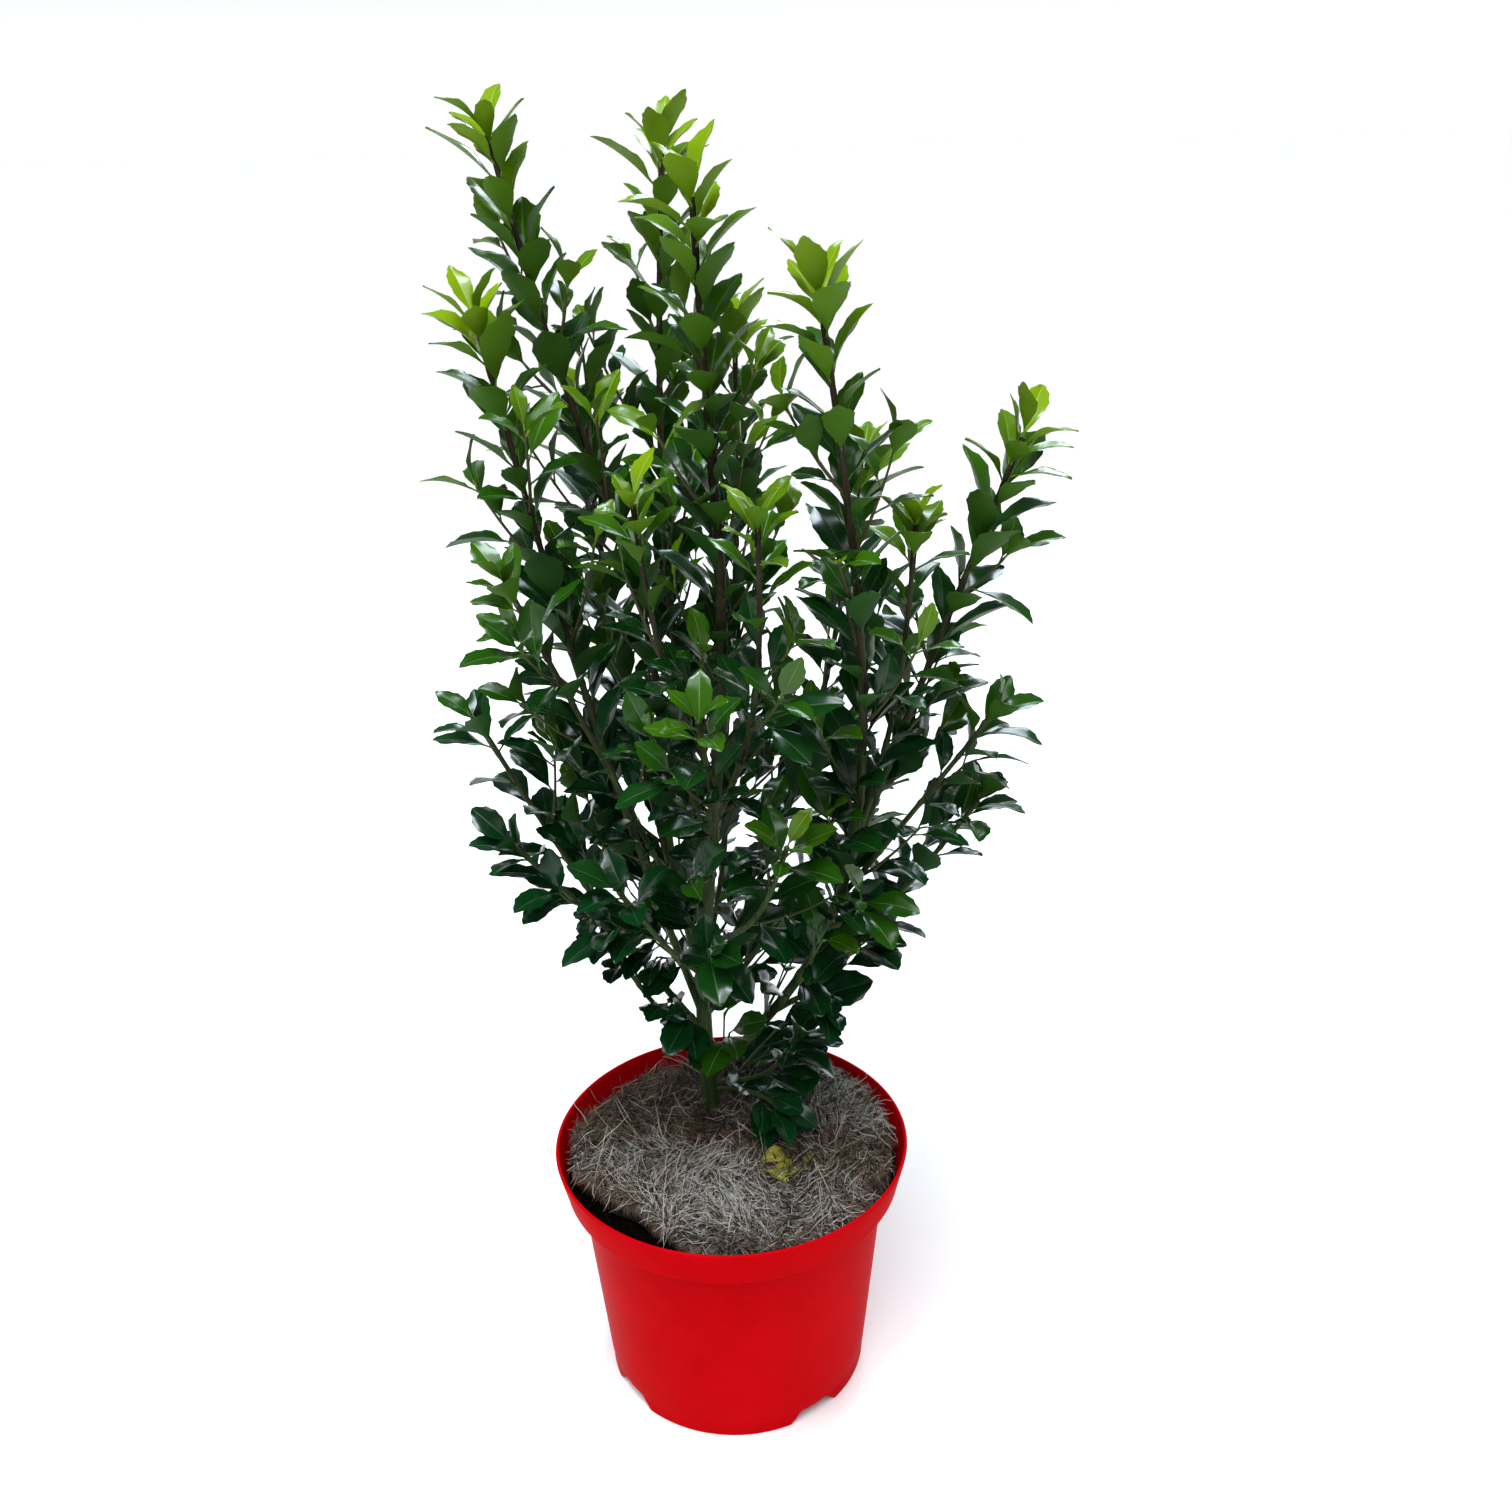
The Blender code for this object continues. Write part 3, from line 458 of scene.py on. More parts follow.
def mat_points():
    """Rings from the hole's wall out over the top, round the edge and back along the underside."""
    angle = np.linspace(0, math.tau, MAT_SIDES, endpoint=False)
    edge = mat_edge(angle)[:, None] * compass(angle)
    near = TRUNK_FOOT + unit(edge - TRUNK_FOOT) * MAT_HOLE_RADIUS
    rough = np.random.default_rng(8)
    rings = []
    for share in np.linspace(0, 1, MAT_RINGS):
        flat = near + (edge - near) * share
        rounding = (max(0, share - 0.94) / 0.06) ** 2 + (max(0, 0.08 - share) / 0.08) ** 2
        height = nap_top(flat[:, 0], flat[:, 1]) - MAT_ROUNDING * rounding
        rings.append(np.column_stack([flat, height + rough.uniform(-MAT_NAP, MAT_NAP, MAT_SIDES)]))
    for share, height in ((1.0, 0.4), (0.985, 0.02), (0.0, 0.02)):
        flat = near + (edge - near) * share
        rings.append(np.column_stack([flat, np.full(MAT_SIDES, SOIL_TOP + GAP + MAT_THICKNESS * height)]))
    return np.array(rings)


felt = Paint("needled_felt", roughness=0.96)
felt_grain = felt.noise(520.0, 4.0)
felt_patch = felt.noise(22.0, 3.0).clamped(0.35, 0.68)
felt_light = felt.mixed(felt_patch, (0.034, 0.023, 0.015), (0.060, 0.046, 0.034))
felt.colour(felt.mixed(felt_grain.clamped(0.40, 0.65), (0.018, 0.012, 0.009), felt_light))
felt.bump(felt_grain, 0.0012)
rings = mat_points()
ring_faces = grid_quads(len(rings), MAT_SIDES, closed=True).tolist()
mat = make_piece("fibre_mat_body", rings, ring_faces, [felt], ["fibre_mat"], sharp=60)
face_outwards(mat)


def tube_points(paths, radii, sides, first_side):
    """Rings of points round each path: the path plus radius times a circle square to its direction."""
    ahead = unit(np.gradient(paths, axis=1))
    side = unit(first_side[:, None] - (first_side[:, None] * ahead).sum(-1, keepdims=True) * ahead)
    other = np.cross(ahead, side)
    turn = np.arange(sides) * math.tau / sides
    ring = side[:, :, None] * np.cos(turn)[:, None] + other[:, :, None] * np.sin(turn)[:, None]
    return paths[:, :, None] + ring * radii[:, :, None, None]


def fibre_places(count, rng, paleness):
    """Places on the mat, even in area. The paleness, from -1 to 1, draws them to or from its pale parts."""
    angle = rng.uniform(0, math.tau, count * 4)
    away = mat_edge(angle) * np.sqrt(rng.uniform(0.010, 1, count * 4))
    spots = away[:, None] * compass(angle)
    # Less pale in the two hollows, so fewer pale fibres fall there: painted shade in the hollows
    pale = np.clip(bells(*spots.T, PALE_AND_SHADED_PLACES), 0, 1)
    wanted = (1 - paleness if paleness > 0 else 1) + paleness * pale
    return spots[rng.uniform(0, 1, count * 4) < wanted][:count]


def brushed(x, y):
    """The way that the fibres of a lock lie, as an angle that winds slowly over the mat."""
    return 2.2 * np.sin(46 * x + 31 * y) + 1.9 * np.cos(52 * y - 37 * x + 0.8) + 9 * x


def fibre_paths(start, rng, longest, lift):
    """Curling fibres that lie on the mat: headings that turn at a rate which itself changes evenly,
    and heights from the mat plus a chance lift that grows towards one end."""
    count = len(start)
    length = rng.uniform(FIBRE_SHORTEST, 1.0, count) * longest
    heading = brushed(*start.T) + rng.normal(0, FIBRE_STRAY, count)
    bend, curl = rng.normal(0, FIBRE_BEND, count), rng.normal(0, FIBRE_CURL, count)
    steps = np.linspace(-0.5, 0.5, FIBRE_POINTS)
    turning = heading[:, None] + bend[:, None] * steps + curl[:, None] * steps**2
    stride = length[:, None] / (FIBRE_POINTS - 1)
    walk = compass(turning).cumsum(axis=1)
    flat = start[:, None] + walk * stride[:, :, None]
    flat -= flat.mean(axis=1, keepdims=True) - start[:, None]
    far = np.linalg.norm(flat, axis=2)
    flat *= (np.minimum(far, FIBRE_LIMIT) / far)[:, :, None]
    base = nap_top(flat[:, :, 0], flat[:, :, 1])
    over = np.arctan2(flat[:, :, 1], flat[:, :, 0])
    beyond = np.clip((far - mat_edge(over)) / EDGE_FALL, 0, 1)
    base -= beyond * rng.uniform(0.0, EDGE_FALL, count)[:, None]
    tilt = np.abs(rng.normal(0, 1, count))[:, None] * lift * (steps + 0.5) ** 1.5
    height = base + rng.uniform(*FIBRE_HEIGHTS, count)[:, None] + tilt
    return np.concatenate([flat, height[:, :, None]], -1)


def fibre_piece(name, paths, radii, first_side, look):
    """One piece of many three-sided fibres."""
    points = tube_points(paths, radii, FIBRE_SIDES, first_side)
    faces = tube_faces(len(paths), FIBRE_POINTS, FIBRE_SIDES)
    make_piece(name, points, faces, [look], sharp=180)


def make_fibres(name, count, seed, longest, thick, lift, paleness, look):
    """Fibres that lie on the mat and thin to both ends."""
    rng = np.random.default_rng(seed)
    paths = fibre_paths(fibre_places(count, rng, paleness), rng, longest, lift)
    count = len(paths)
    steps = np.linspace(-1, 1, FIBRE_POINTS)
    radii = rng.uniform(0.5, 1.0, count)[:, None] * thick * (1 - 0.75 * steps**4)
    fibre_piece(name, paths, radii, rng.normal(0, 1, (3, count)).T + (0, 0, 2), look)


def make_fringe(name, count, seed, look):
    """Fibres that hang over the mat's edge, most of them at the straight cut. Each starts on top, bows
    outwards over the edge as a quarter circle and ends beside the mat's wall."""
    rng = np.random.default_rng(seed)
    at_cut = rng.uniform(0, 1, count) < FRINGE_AT_CUT
    near_cut = MAT_CUT_ANGLE + rng.uniform(-FRINGE_SPREAD, FRINGE_SPREAD, count)
    angle = np.where(at_cut, near_cut, rng.uniform(0, math.tau, count))
    edge = mat_edge(angle)[:, None] * compass(angle)
    square = np.where(at_cut, MAT_CUT_ANGLE, angle) + rng.normal(0, 0.5, count)
    turn = np.linspace(0, math.pi / 2, FIBRE_POINTS)
    reach, fall, back = (rng.uniform(*way, count) for way in (FRINGE_REACH, FRINGE_FALL, FRINGE_BACK))
    out = np.sin(turn) * reach[:, None] - back[:, None]
    flat = edge[:, None] + compass(square)[:, None] * out[:, :, None]
    top = nap_top(*(edge.T * 0.97)) + rng.uniform(*FRINGE_HEIGHTS, count)
    height = np.maximum(top[:, None] - fall[:, None] * (1 - np.cos(turn)), SOIL_TOP + 0.001)
    far = np.linalg.norm(flat, axis=2, keepdims=True)
    flat *= np.minimum(far, FRINGE_LIMIT) / far
    thinning = 1 - 0.6 * np.linspace(0, 1, FIBRE_POINTS) ** 3
    radii = rng.uniform(*FRINGE_THICKNESS, count)[:, None] * thinning
    paths = np.concatenate([flat, height[:, :, None]], -1)
    fibre_piece(name, paths, radii, np.array([[0.2, 0.1, 1.0]]), look)


# Each kind of fibre: colour, roughness, count, seed, greatest length, thickness, lift and paleness
FIBRES = {
    # The near-black first kind is partly dark fibre and partly painted shade, darkening the gaps between
    # the lighter fibres.
    "dark_and_shade": ((0.014, 0.009, 0.006), 0.90, 5400, 22, 0.020, 0.00034, 0.0052, -0.30),
    "umber": ((0.170, 0.100, 0.057), 0.85, 4200, 21, 0.021, 0.00025, 0.0056, -0.80),
    "ash": ((0.200, 0.170, 0.138), 0.80, 3600, 23, 0.024, 0.00024, 0.0052, 0.45),
    "silver": ((0.58, 0.565, 0.535), 0.65, 1900, 24, 0.028, 0.00025, 0.0056, 0.975),
    "pale": ((0.56, 0.50, 0.40), 0.60, 420, 25, 0.040, 0.00027, 0.0120, 0.60),
}
fibre = {}
for kind, (colour, roughness, *form) in FIBRES.items():
    fibre[kind] = Paint(f"{kind}_fibre", base_color=colour, roughness=roughness)
    make_fibres(f"fibres_{kind}", *form, fibre[kind])
make_fringe("fringe_umber", 1300, 26, fibre["umber"])
make_fringe("fringe_ash", 1000, 27, fibre["ash"])

# Trunk and boughs
# One green stem comes up behind the middle of the pot and carries the leader. Its boughs leave low
# and bow outwards before they rise. Their bark is smooth, green below and red-brown above.

TRUNK_RADIUS = 0.0056
FLARE_RADIUS = 0.0088
FLARE_REACH = 0.0070
TIP_RADIUS = 0.0013
KNOT_SWELL = 0.22
KNOT_REACH = 0.0016
ANY_SIDE = np.array([0.31, 0.87, 0.38])

# Places on the stems and the lengths of twigs are in millimetres
TRUNK_LEAVES_FROM = 470
TRUNK_TWIG = 56
TRUNK_BENDS = ((-16, 40, 223), (-4, 12, 389), (4, -10, 517))
CROWN_BEND = (0, -28, 640)
CROWN_TIP = (-3, -36, 722)

# Each bough: parent, height where it leaves it, bends, tip, radius, longest twig, and how fresh its
# tip is from 0 to 1
LIMBS = {
    "left_tall": (
        "trunk", 256, ((-32, 36, 350), (-37, 42, 464), (-82, 46, 640)), (-108, 50, 749), 2.7, 56, 1.0
    ),
    "back_tall": ("trunk", 306, ((-20, 62, 400), (-27, 72, 480)), (-22, 84, 741), 2.6, 56, 1.0),
    "left": ("trunk", 226, ((-68, 10, 437),), (-115, 5, 663), 2.5, 56, 1.0),
    "right_front": ("trunk", 178, ((58, 2, 305), (77, -38, 490)), (54, -66, 682), 3.4, 48, 1.0),
    "right": ("right_front", 300, ((97, 14, 412),), (162, 0, 600), 2.5, 50, 0.8),
    "left_side": ("trunk", 280, ((-62, -18, 430),), (-104, -44, 542), 2.0, 50, 0.4),
    "far_left": ("trunk", 214, ((-62, 14, 303),), (-130, -12, 452), 2.4, 50, 0.2),
    "low_left": ("far_left", 278, ((-86, -8, 340),), (-114, -26, 384), 1.8, 40, 0.1),
    "mid_left": ("trunk", 405, ((-26, -32, 490),), (-36, -60, 584), 1.8, 48, 0.75),
    "centre_mid": ("trunk", 372, ((20, -44, 470),), (24, -78, 582), 1.9, 48, 0.75),
    "right_mid": ("right_front", 365, ((94, -10, 440),), (106, -16, 560), 1.8, 48, 0.75),
    "front_mid": ("trunk", 330, ((-2, -36, 400),), (-8, -84, 480), 1.9, 48, 0.5),
    "front_low": ("trunk", 286, ((18, -26, 335),), (36, -66, 400), 1.9, 48, 0.6),
    "front_left_low": ("trunk", 262, ((-32, -16, 310),), (-56, -48, 366), 1.9, 46, 0.1),
    "right_low": ("right_front", 262, ((92, 16, 312),), (148, 8, 390), 1.9, 48, 0.4),
    "right_side": ("right_front", 335, ((108, -4, 388),), (150, -12, 450), 1.8, 44, 0.3),
    "left_base": ("trunk", 197, ((-47, 23, 250),), (-68, 7, 300), 1.9, 34, 0.1),
    "right_base": ("right_front", 240, ((66, 6, 280),), (80, -14, 318), 1.8, 32, 0.2),
    "back_left": ("left_tall", 292, ((-58, 80, 440),), (-76, 108, 602), 2.2, 56, 0.8),
    "back_mid": ("trunk", 320, ((8, 84, 460),), (14, 118, 640), 2.2, 56, 0.9),
    "back_right": ("trunk", 240, ((54, 76, 400),), (86, 98, 566), 2.3, 56, 0.8),
    "back_low_left": ("trunk", 236, ((-50, 76, 306),), (-78, 98, 384), 1.9, 46, 0.2),
    "back_low_right": ("trunk", 226, ((42, 80, 290),), (82, 98, 366), 1.9, 46, 0.2),
    "back_low": ("trunk", 262, ((0, 92, 330),), (0, 124, 420), 1.9, 50, 0.3),
}
SHOOTS = {
    "shoot_right": ("trunk", 174, ((20, 26, 192),), (42, 10, 232), 1.4, 34, 0.1),
    "shoot_front": ("trunk", 167, ((6, 30, 178),), (26, 8, 184), 1.3, 0, 0.1),
}
Limb = namedtuple("Limb", "parent height bends tip radius twig fresh")


def distances_along(points):
    """The distance of each point from the first, along the straight lines between them."""
    return np.concatenate([[0], np.cumsum(np.linalg.norm(np.diff(points, axis=0), axis=1))])


def flowing(points, count):
    """Points at even steps on a natural cubic spline: between two points the curve is the straight
    line plus a cubic whose second slopes, solved for all points at once, agree at every point."""
    p = np.array([list(q) for q in points], float)
    t = distances_along(p)
    h = np.diff(t)
    n = len(p)
    a, b = np.eye(n), np.zeros((n, 3))
    for k in range(1, n - 1):
        a[k, k - 1 : k + 2] = h[k - 1], 2 * (h[k - 1] + h[k]), h[k]
        b[k] = 6 * ((p[k + 1] - p[k]) / h[k] - (p[k] - p[k - 1]) / h[k - 1])
    m = np.linalg.solve(a, b)
    at = np.linspace(0, t[-1], count)
    k = np.clip(np.searchsorted(t, at, side="right") - 1, 0, n - 2)
    u, w, hk = (t[k + 1] - at)[:, None], (at - t[k])[:, None], h[k][:, None]
    straight = (p[k] / hk - m[k] * hk / 6) * u + (p[k + 1] / hk - m[k + 1] * hk / 6) * w
    return (m[k] * u**3 + m[k + 1] * w**3) / (6 * hk) + straight


def trunk_radius(z):
    """Straight taper from foot to tip, plus a flare that dies away over the first few millimetres."""
    taper = np.interp(z, (SOIL_TOP, CROWN_TIP[2] * MM), (TRUNK_RADIUS, TIP_RADIUS))
    return taper + (FLARE_RADIUS - TRUNK_RADIUS) * np.exp(-(z - SOIL_TOP) / FLARE_REACH)


class Stem:
    """A stem or twig with a radius at each of its points, walked by the distance along it."""

    def __init__(self, points, radii):
        self.points = np.asarray(points)
        self.radii = np.asarray(radii)
        self.marks = distances_along(self.points)
        self.length = float(self.marks[-1])
        self.knots = []

    def places(self, distances):
        """The points at distances from the root."""
        return np.stack([np.interp(distances, self.marks, self.points[:, k]) for k in range(3)], -1)

    def at(self, distance):
        """The point, the direction and the radius at a distance from the root."""
        k = np.clip(np.searchsorted(self.marks, distance) - 1, 0, len(self.points) - 2)
        ahead = self.points[k + 1] - self.points[k]
        radius = float(np.interp(distance, self.marks, self.radii))
        return Vector(self.places(distance)), Vector(ahead).normalized(), radius

    def at_height(self, height):
        """The point where the stem, which rises all along, passes a height."""
        return np.array([np.interp(height, self.points[:, 2], self.points[:, k]) for k in range(3)])

    def sampled(self, rows):
        """Distances, points and radii at even steps from root to tip."""
        at = np.linspace(0, self.length, rows)
        return at, self.places(at), np.interp(at, self.marks, self.radii)


limbs = {name: Limb(*row) for name, row in {**LIMBS, **SHOOTS}.items()}
trunk_start = (*(TRUNK_FOOT / MM), (SOIL_TOP + GAP) / MM)
trunk_line = flowing((trunk_start, *TRUNK_BENDS, CROWN_BEND, CROWN_TIP), 240) * MM
stems = {"trunk": Stem(trunk_line, trunk_radius(trunk_line[:, 2]))}
for name, limb in limbs.items():
    limb_start = stems[limb.parent].at_height(limb.height * MM) / MM
    limb_line = flowing((limb_start, *limb.bends, limb.tip), 160) * MM
    stems[name] = Stem(limb_line, np.linspace(limb.radius * MM, TIP_RADIUS, len(limb_line)))


def bark_tube(stem, rows, sides, relief, rng):
    """Rings round a stem. The radius swells at each leaf's or twig's place by a narrow bell curve and
    has low ridges that run along it: two cosines round the stem whose phase drifts with the distance."""
    at, path, radius = stem.sampled(rows)
    for knot in stem.knots:
        radius = radius * (1 + KNOT_SWELL * np.exp(-(((at - knot) / KNOT_REACH) ** 2)))
    turn = np.arange(sides) * math.tau / sides
    drift = at[:, None] * rng.uniform(8, 20) + rng.uniform(0, 6)
    ridge = 1 + relief * (np.cos(3 * turn + drift) + 0.6 * np.cos(5 * turn - 1.7 * drift))
    rings = tube_points(path[None], radius[None], sides, ANY_SIDE[None])[0]
    return path[:, None] + (rings - path[:, None]) * ridge[:, :, None]


def joined_tubes(name, tubes, look, replaced):
    """One piece of many bark tubes, each closed at both ends."""
    faces, first = [], 0
    for tube in tubes:
        faces += tube_faces(1, *tube.shape[:2], first)
        first += len(tube) * tube.shape[1]
    points = np.concatenate([tube.reshape(-1, 3) for tube in tubes])
    make_piece(name, points, faces, [look], replaced, sharp=70)


# Leaves and twigs
# Each bough carries short side twigs and small leathery leaves set one by one round it, on short
# stalks: glossy dark green below, where the darkness is partly age and partly painted shade of the
# lower crown, paler beneath, and yellow-green where they are new at the tips.

GOLDEN_ANGLE = math.radians(137.508)
UP = Vector((0, 0, 1))
LEAF_LENGTH = 0.0370
LEAF_FACING_UP = 0.45
LOW_LEAF_SIZE = 1.22
LOW_LEAF_LEVEL = 0.45
LOW_SPACING = 1.88
LOW_FROM, LOW_TO = 0.60, 0.26
LEADING, LARGE_LEAVED = 0.70, 0.78
STALK_INSET = 0.0006
TRIES = 9
LEAF_TRY_TURN, LEAF_TRY_SHRINK = 0.45, 0.035
TWIG_TRY_TURN, TWIG_TRY_SHRINK = 0.7, 0.09
LEAF_REACH, TWIG_REACH = 0.6, 0.7
ANGLE_SPREAD = (0.60, 1.30)
SIZE_SPREAD = (0.78, 1.10)
DROOP_SPREAD = (0.09, 0.22)
ROSETTE_STEP = 0.0033
ROSETTE_ANGLE = math.radians(34)
ROSETTE_OPENING = (0.45, 1.40)
ROSETTE_SIZE = (0.78, 1.02)
ROSETTE_DROOP = 1.5
TWIG_STEP_SPREAD = (0.8, 1.2)
TWIG_LENGTH_SPREAD = (0.7, 1.15)
TWIG_POINTS = 9
TWIG_ANGLE = math.radians(42)
TWIG_RISE = 0.45
TWIG_LIGHT = 0.6
TWIG_RADIUS = 0.0011
TWIG_TO_STEM = 0.75
TWIG_TIP_RADIUS = 0.0006
TWIG_FRESH = 0.5
TWIG_LEAVES_FROM = 0.0084
TWIGLETS_BELOW = 0.2900
TWIGLET_LENGTH = 0.0220
BARE_FOOT = 0.0180
TRUNK_TWIGS_FROM = 0.2050
CELL_OVERLAP = 0.0060
RIM_MARGIN, MAT_MARGIN, REACH_MARGIN = 0.0030, 0.0040, 0.0030
INSIDE_RIM = 0.0980
SKIRT_HEIGHT = 0.225
SKIRT_START = 0.020
SKIRT_RISE_LEFT, SKIRT_RISE_RIGHT = 2.4, 1.6
SKIRT_POWER = 1.3
PROXY_WIDTH = 0.30
PROXY_THICKNESS = 0.0006
PROXY_FACES = [(0, 1, 2), (0, 2, 3), (0, 3, 4), (0, 4, 1), (5, 2, 1), (5, 3, 2), (5, 4, 3), (5, 1, 4)]

# How each kind of stem grows: space between leaves, their size and their angle in degrees, leaves in
# the rosette, reach of its fresh tip, space between twigs, tip without twigs, and twigs' taper
Habit = namedtuple("Habit", "step size angle rosette fresh_reach twig_step free_tip taper")
HABITS = {
    "leader": Habit(0.0068, 1.22, 31, 9, 0.034, 0.027, 0.078, 0.36),
    "upper": Habit(0.0120, 0.95, 31, 9, 0.034, 0.027, 0.078, 0.36),
    "lower": Habit(0.0120, 0.95, 44, 7, 0.034, 0.033, 0.030, 0.46),
    "shoot": Habit(0.0066, 0.98, 57.2, 7, 0.034, 0.033, 0.030, 0.46),
    "twig": Habit(0.0120, 1.02, 44, 3, 0.014, 0.019, 0.014, 0.60),
}
Leaf = namedtuple("Leaf", "root along facing length droop youth luck")


class Crown:
    """The leaves, twigs and limbs so far. A new leaf or twig keeps about to its own limb's space, and
    its plain stand-in touches no other but its own stem's."""

    def __init__(self):
        self.lines = {}
        self.trees = []
        self.centres = np.zeros((0, 3))
        self.reaches = np.zeros(0)
        self.leaves = []

    def is_own_space(self, name, points):
        """True if no other limb is nearer to the points than the named one, by more than the overlap."""
        away = {}
        for other, line in self.lines.items():
            away[other] = np.linalg.norm(points[:, None] - line, axis=2).min(axis=1)
        own = away.pop(name)
        return bool((own < np.min(list(away.values()), axis=0) + CELL_OVERLAP).all())

    def is_free(self, tree, centre, reach, own):
        close = np.linalg.norm(self.centres - centre, axis=1) < self.reaches + reach
        return not any(k != own and tree.overlap(self.trees[k]) for k in np.flatnonzero(close))

    def place(self, tree, centre, reach):
        self.trees.append(tree)
        self.centres = np.vstack([self.centres, centre])
        self.reaches = np.append(self.reaches, reach)
        return len(self.trees) - 1


crown = Crown()
chances = {name: random.Random(seed) for seed, name in enumerate(stems, 11)}


def clears_pot(points):
    """True if every point is above the rim, or inside it and above the fibre mat."""
    inside = np.hypot(points[:, 0], points[:, 1]) < INSIDE_RIM
    over_mat = points[:, 2] > mat_top(points[:, 0], points[:, 1]) + MAT_MARGIN
    return bool(((points[:, 2] > POT_HEIGHT + RIM_MARGIN) | (inside & over_mat)).all())


def within_reach(points):
    """True if every point is inside the box of the solids, or hardly past it."""
    low, high = (np.array(list(corner)) for corner in cad_box)
    return bool(((points > low - REACH_MARGIN) & (points < high + REACH_MARGIN)).all())


def over_skirt(name, points):
    """True if every point is above the crown's skirt, a power curve that rises to both sides, or
    belongs to a shoot at the trunk's foot."""
    out = np.abs(points[:, 0]) - SKIRT_START
    rise = np.where(points[:, 0] < 0, SKIRT_RISE_LEFT, SKIRT_RISE_RIGHT) * np.maximum(out, 0) ** SKIRT_POWER
    return name in SHOOTS or bool((points[:, 2] > SKIRT_HEIGHT + rise).all())


def tube_tree(stem, rows, sides=6):
    """A plain skin round a stem, a gap fatter than it, for contact tests."""
    _, path, radius = stem.sampled(rows)
    points = tube_points(path[None], radius[None] + GAP, sides, ANY_SIDE[None])
    return BVHTree.FromPolygons(points.reshape(-1, 3).tolist(), grid_quads(rows, sides).tolist())


def leaving(axis, azimuth, angle, low=0.0):
    """The way a leaf or twig leaves its stem, and the way a leaf's upper side faces. Low leaves lie
    flatter and turn their upper side more to the light."""
    across = axis.cross(Vector((0.2, 0.1, 1)) if abs(axis.z) < 0.9 else Vector((1, 0.2, 0))).normalized()
    outward = Matrix.Rotation(azimuth, 3, axis) @ across
    along = (axis * math.cos(angle) + outward * math.sin(angle)).normalized()
    facing = (axis * math.sin(angle) - outward * math.cos(angle)).normalized()
    along = (along - UP * along.z * LOW_LEAF_LEVEL * low).normalized()
    return along, (facing + UP * (LEAF_FACING_UP + low)).normalized()


def leaf_proxy(root, along, facing, size, droop):
    """Six points round a leaf: root, sides, top and underside of the stalk's end, and tip."""
    across = facing.cross(along).normalized()
    up = along.cross(across).normalized()
    middle = root + along * size * 0.6 + up * size * (0.05 - droop * 0.2)
    half, thick = across * size * PROXY_WIDTH / 2, up * PROXY_THICKNESS
    stalk, tip = root + along * size * 0.15, root + along * size - up * size * droop
    return np.array([root, middle + half, stalk + thick, middle - half, stalk - thick, tip])


def lowness(z):
    """From 0 in the upper crown to 1 near the pot, where leaves are larger and stand farther apart."""
    return np.interp(z, (LOW_TO, LOW_FROM), (1, 0))


def lowered(value, z):
    """1 in the upper crown, blending into the value near the pot."""
    return 1 + (value - 1) * lowness(z)


def places_along(stem, start, end, step):
    """Distances along a stem from one leaf to the next, wider apart low down."""
    places = []
    while start < end:
        places.append(start)
        start += step * lowered(LOW_SPACING, stem.at(start)[0].z)
    return places


def tries(azimuth, turn):
    """The tries at a place: their number, and a direction that turns further away to either side."""
    for attempt in range(TRIES):
        yield attempt, azimuth + attempt * turn * (-1) ** attempt


def grow_leaves(name, stem, own, start, fresh, habit):
    """Leaves by the golden angle up a stem or twig, then a rosette at its tip whose leaves are smaller
    and more upright the nearer they are to the tip."""
    rng = chances[name]
    rosette = ROSETTE_STEP * habit.rosette
    places = places_along(stem, start, stem.length - rosette - habit.step * 0.5, habit.step)
    places += [stem.length - ROSETTE_STEP * k - STALK_INSET for k in reversed(range(habit.rosette))]
    azimuth = rng.uniform(0, math.tau)
    for distance in places:
        root, axis, _ = stem.at(distance)
        to_tip = stem.length - distance
        base_angle, base_size, base_droop = math.radians(habit.angle), 1, 1
        if to_tip < rosette + ROSETTE_STEP:
            base_angle = ROSETTE_ANGLE * np.interp(to_tip, (0, rosette), ROSETTE_OPENING)
            base_size, base_droop = np.interp(to_tip, (0, rosette), ROSETTE_SIZE), ROSETTE_DROOP
        azimuth += GOLDEN_ANGLE
        for attempt, turn in tries(azimuth, LEAF_TRY_TURN):
            along, facing = leaving(axis, turn, base_angle * rng.uniform(*ANGLE_SPREAD), lowness(root.z))
            size = LEAF_LENGTH * habit.size * rng.uniform(*SIZE_SPREAD) * base_size
            size *= (1 - LEAF_TRY_SHRINK * attempt) * lowered(LOW_LEAF_SIZE, root.z)
            droop = rng.uniform(*DROOP_SPREAD) * base_droop
            points = leaf_proxy(root, along, facing, size, droop)
            if not clears_pot(points[1:]) or not over_skirt(name, points[1:]):
                continue
            if not within_reach(points) or not crown.is_own_space(name, points[[2, 5]]):
                continue
            tree, centre = BVHTree.FromPolygons(points.tolist(), PROXY_FACES), points.mean(axis=0)
            if crown.is_free(tree, centre, size * LEAF_REACH, own):
                crown.place(tree, centre, size * LEAF_REACH)
                youth = fresh * math.exp(-to_tip / habit.fresh_reach)
                crown.leaves.append(Leaf(root, along, facing, size, droop, youth, rng.random()))
                stem.knots.append(distance)
                break


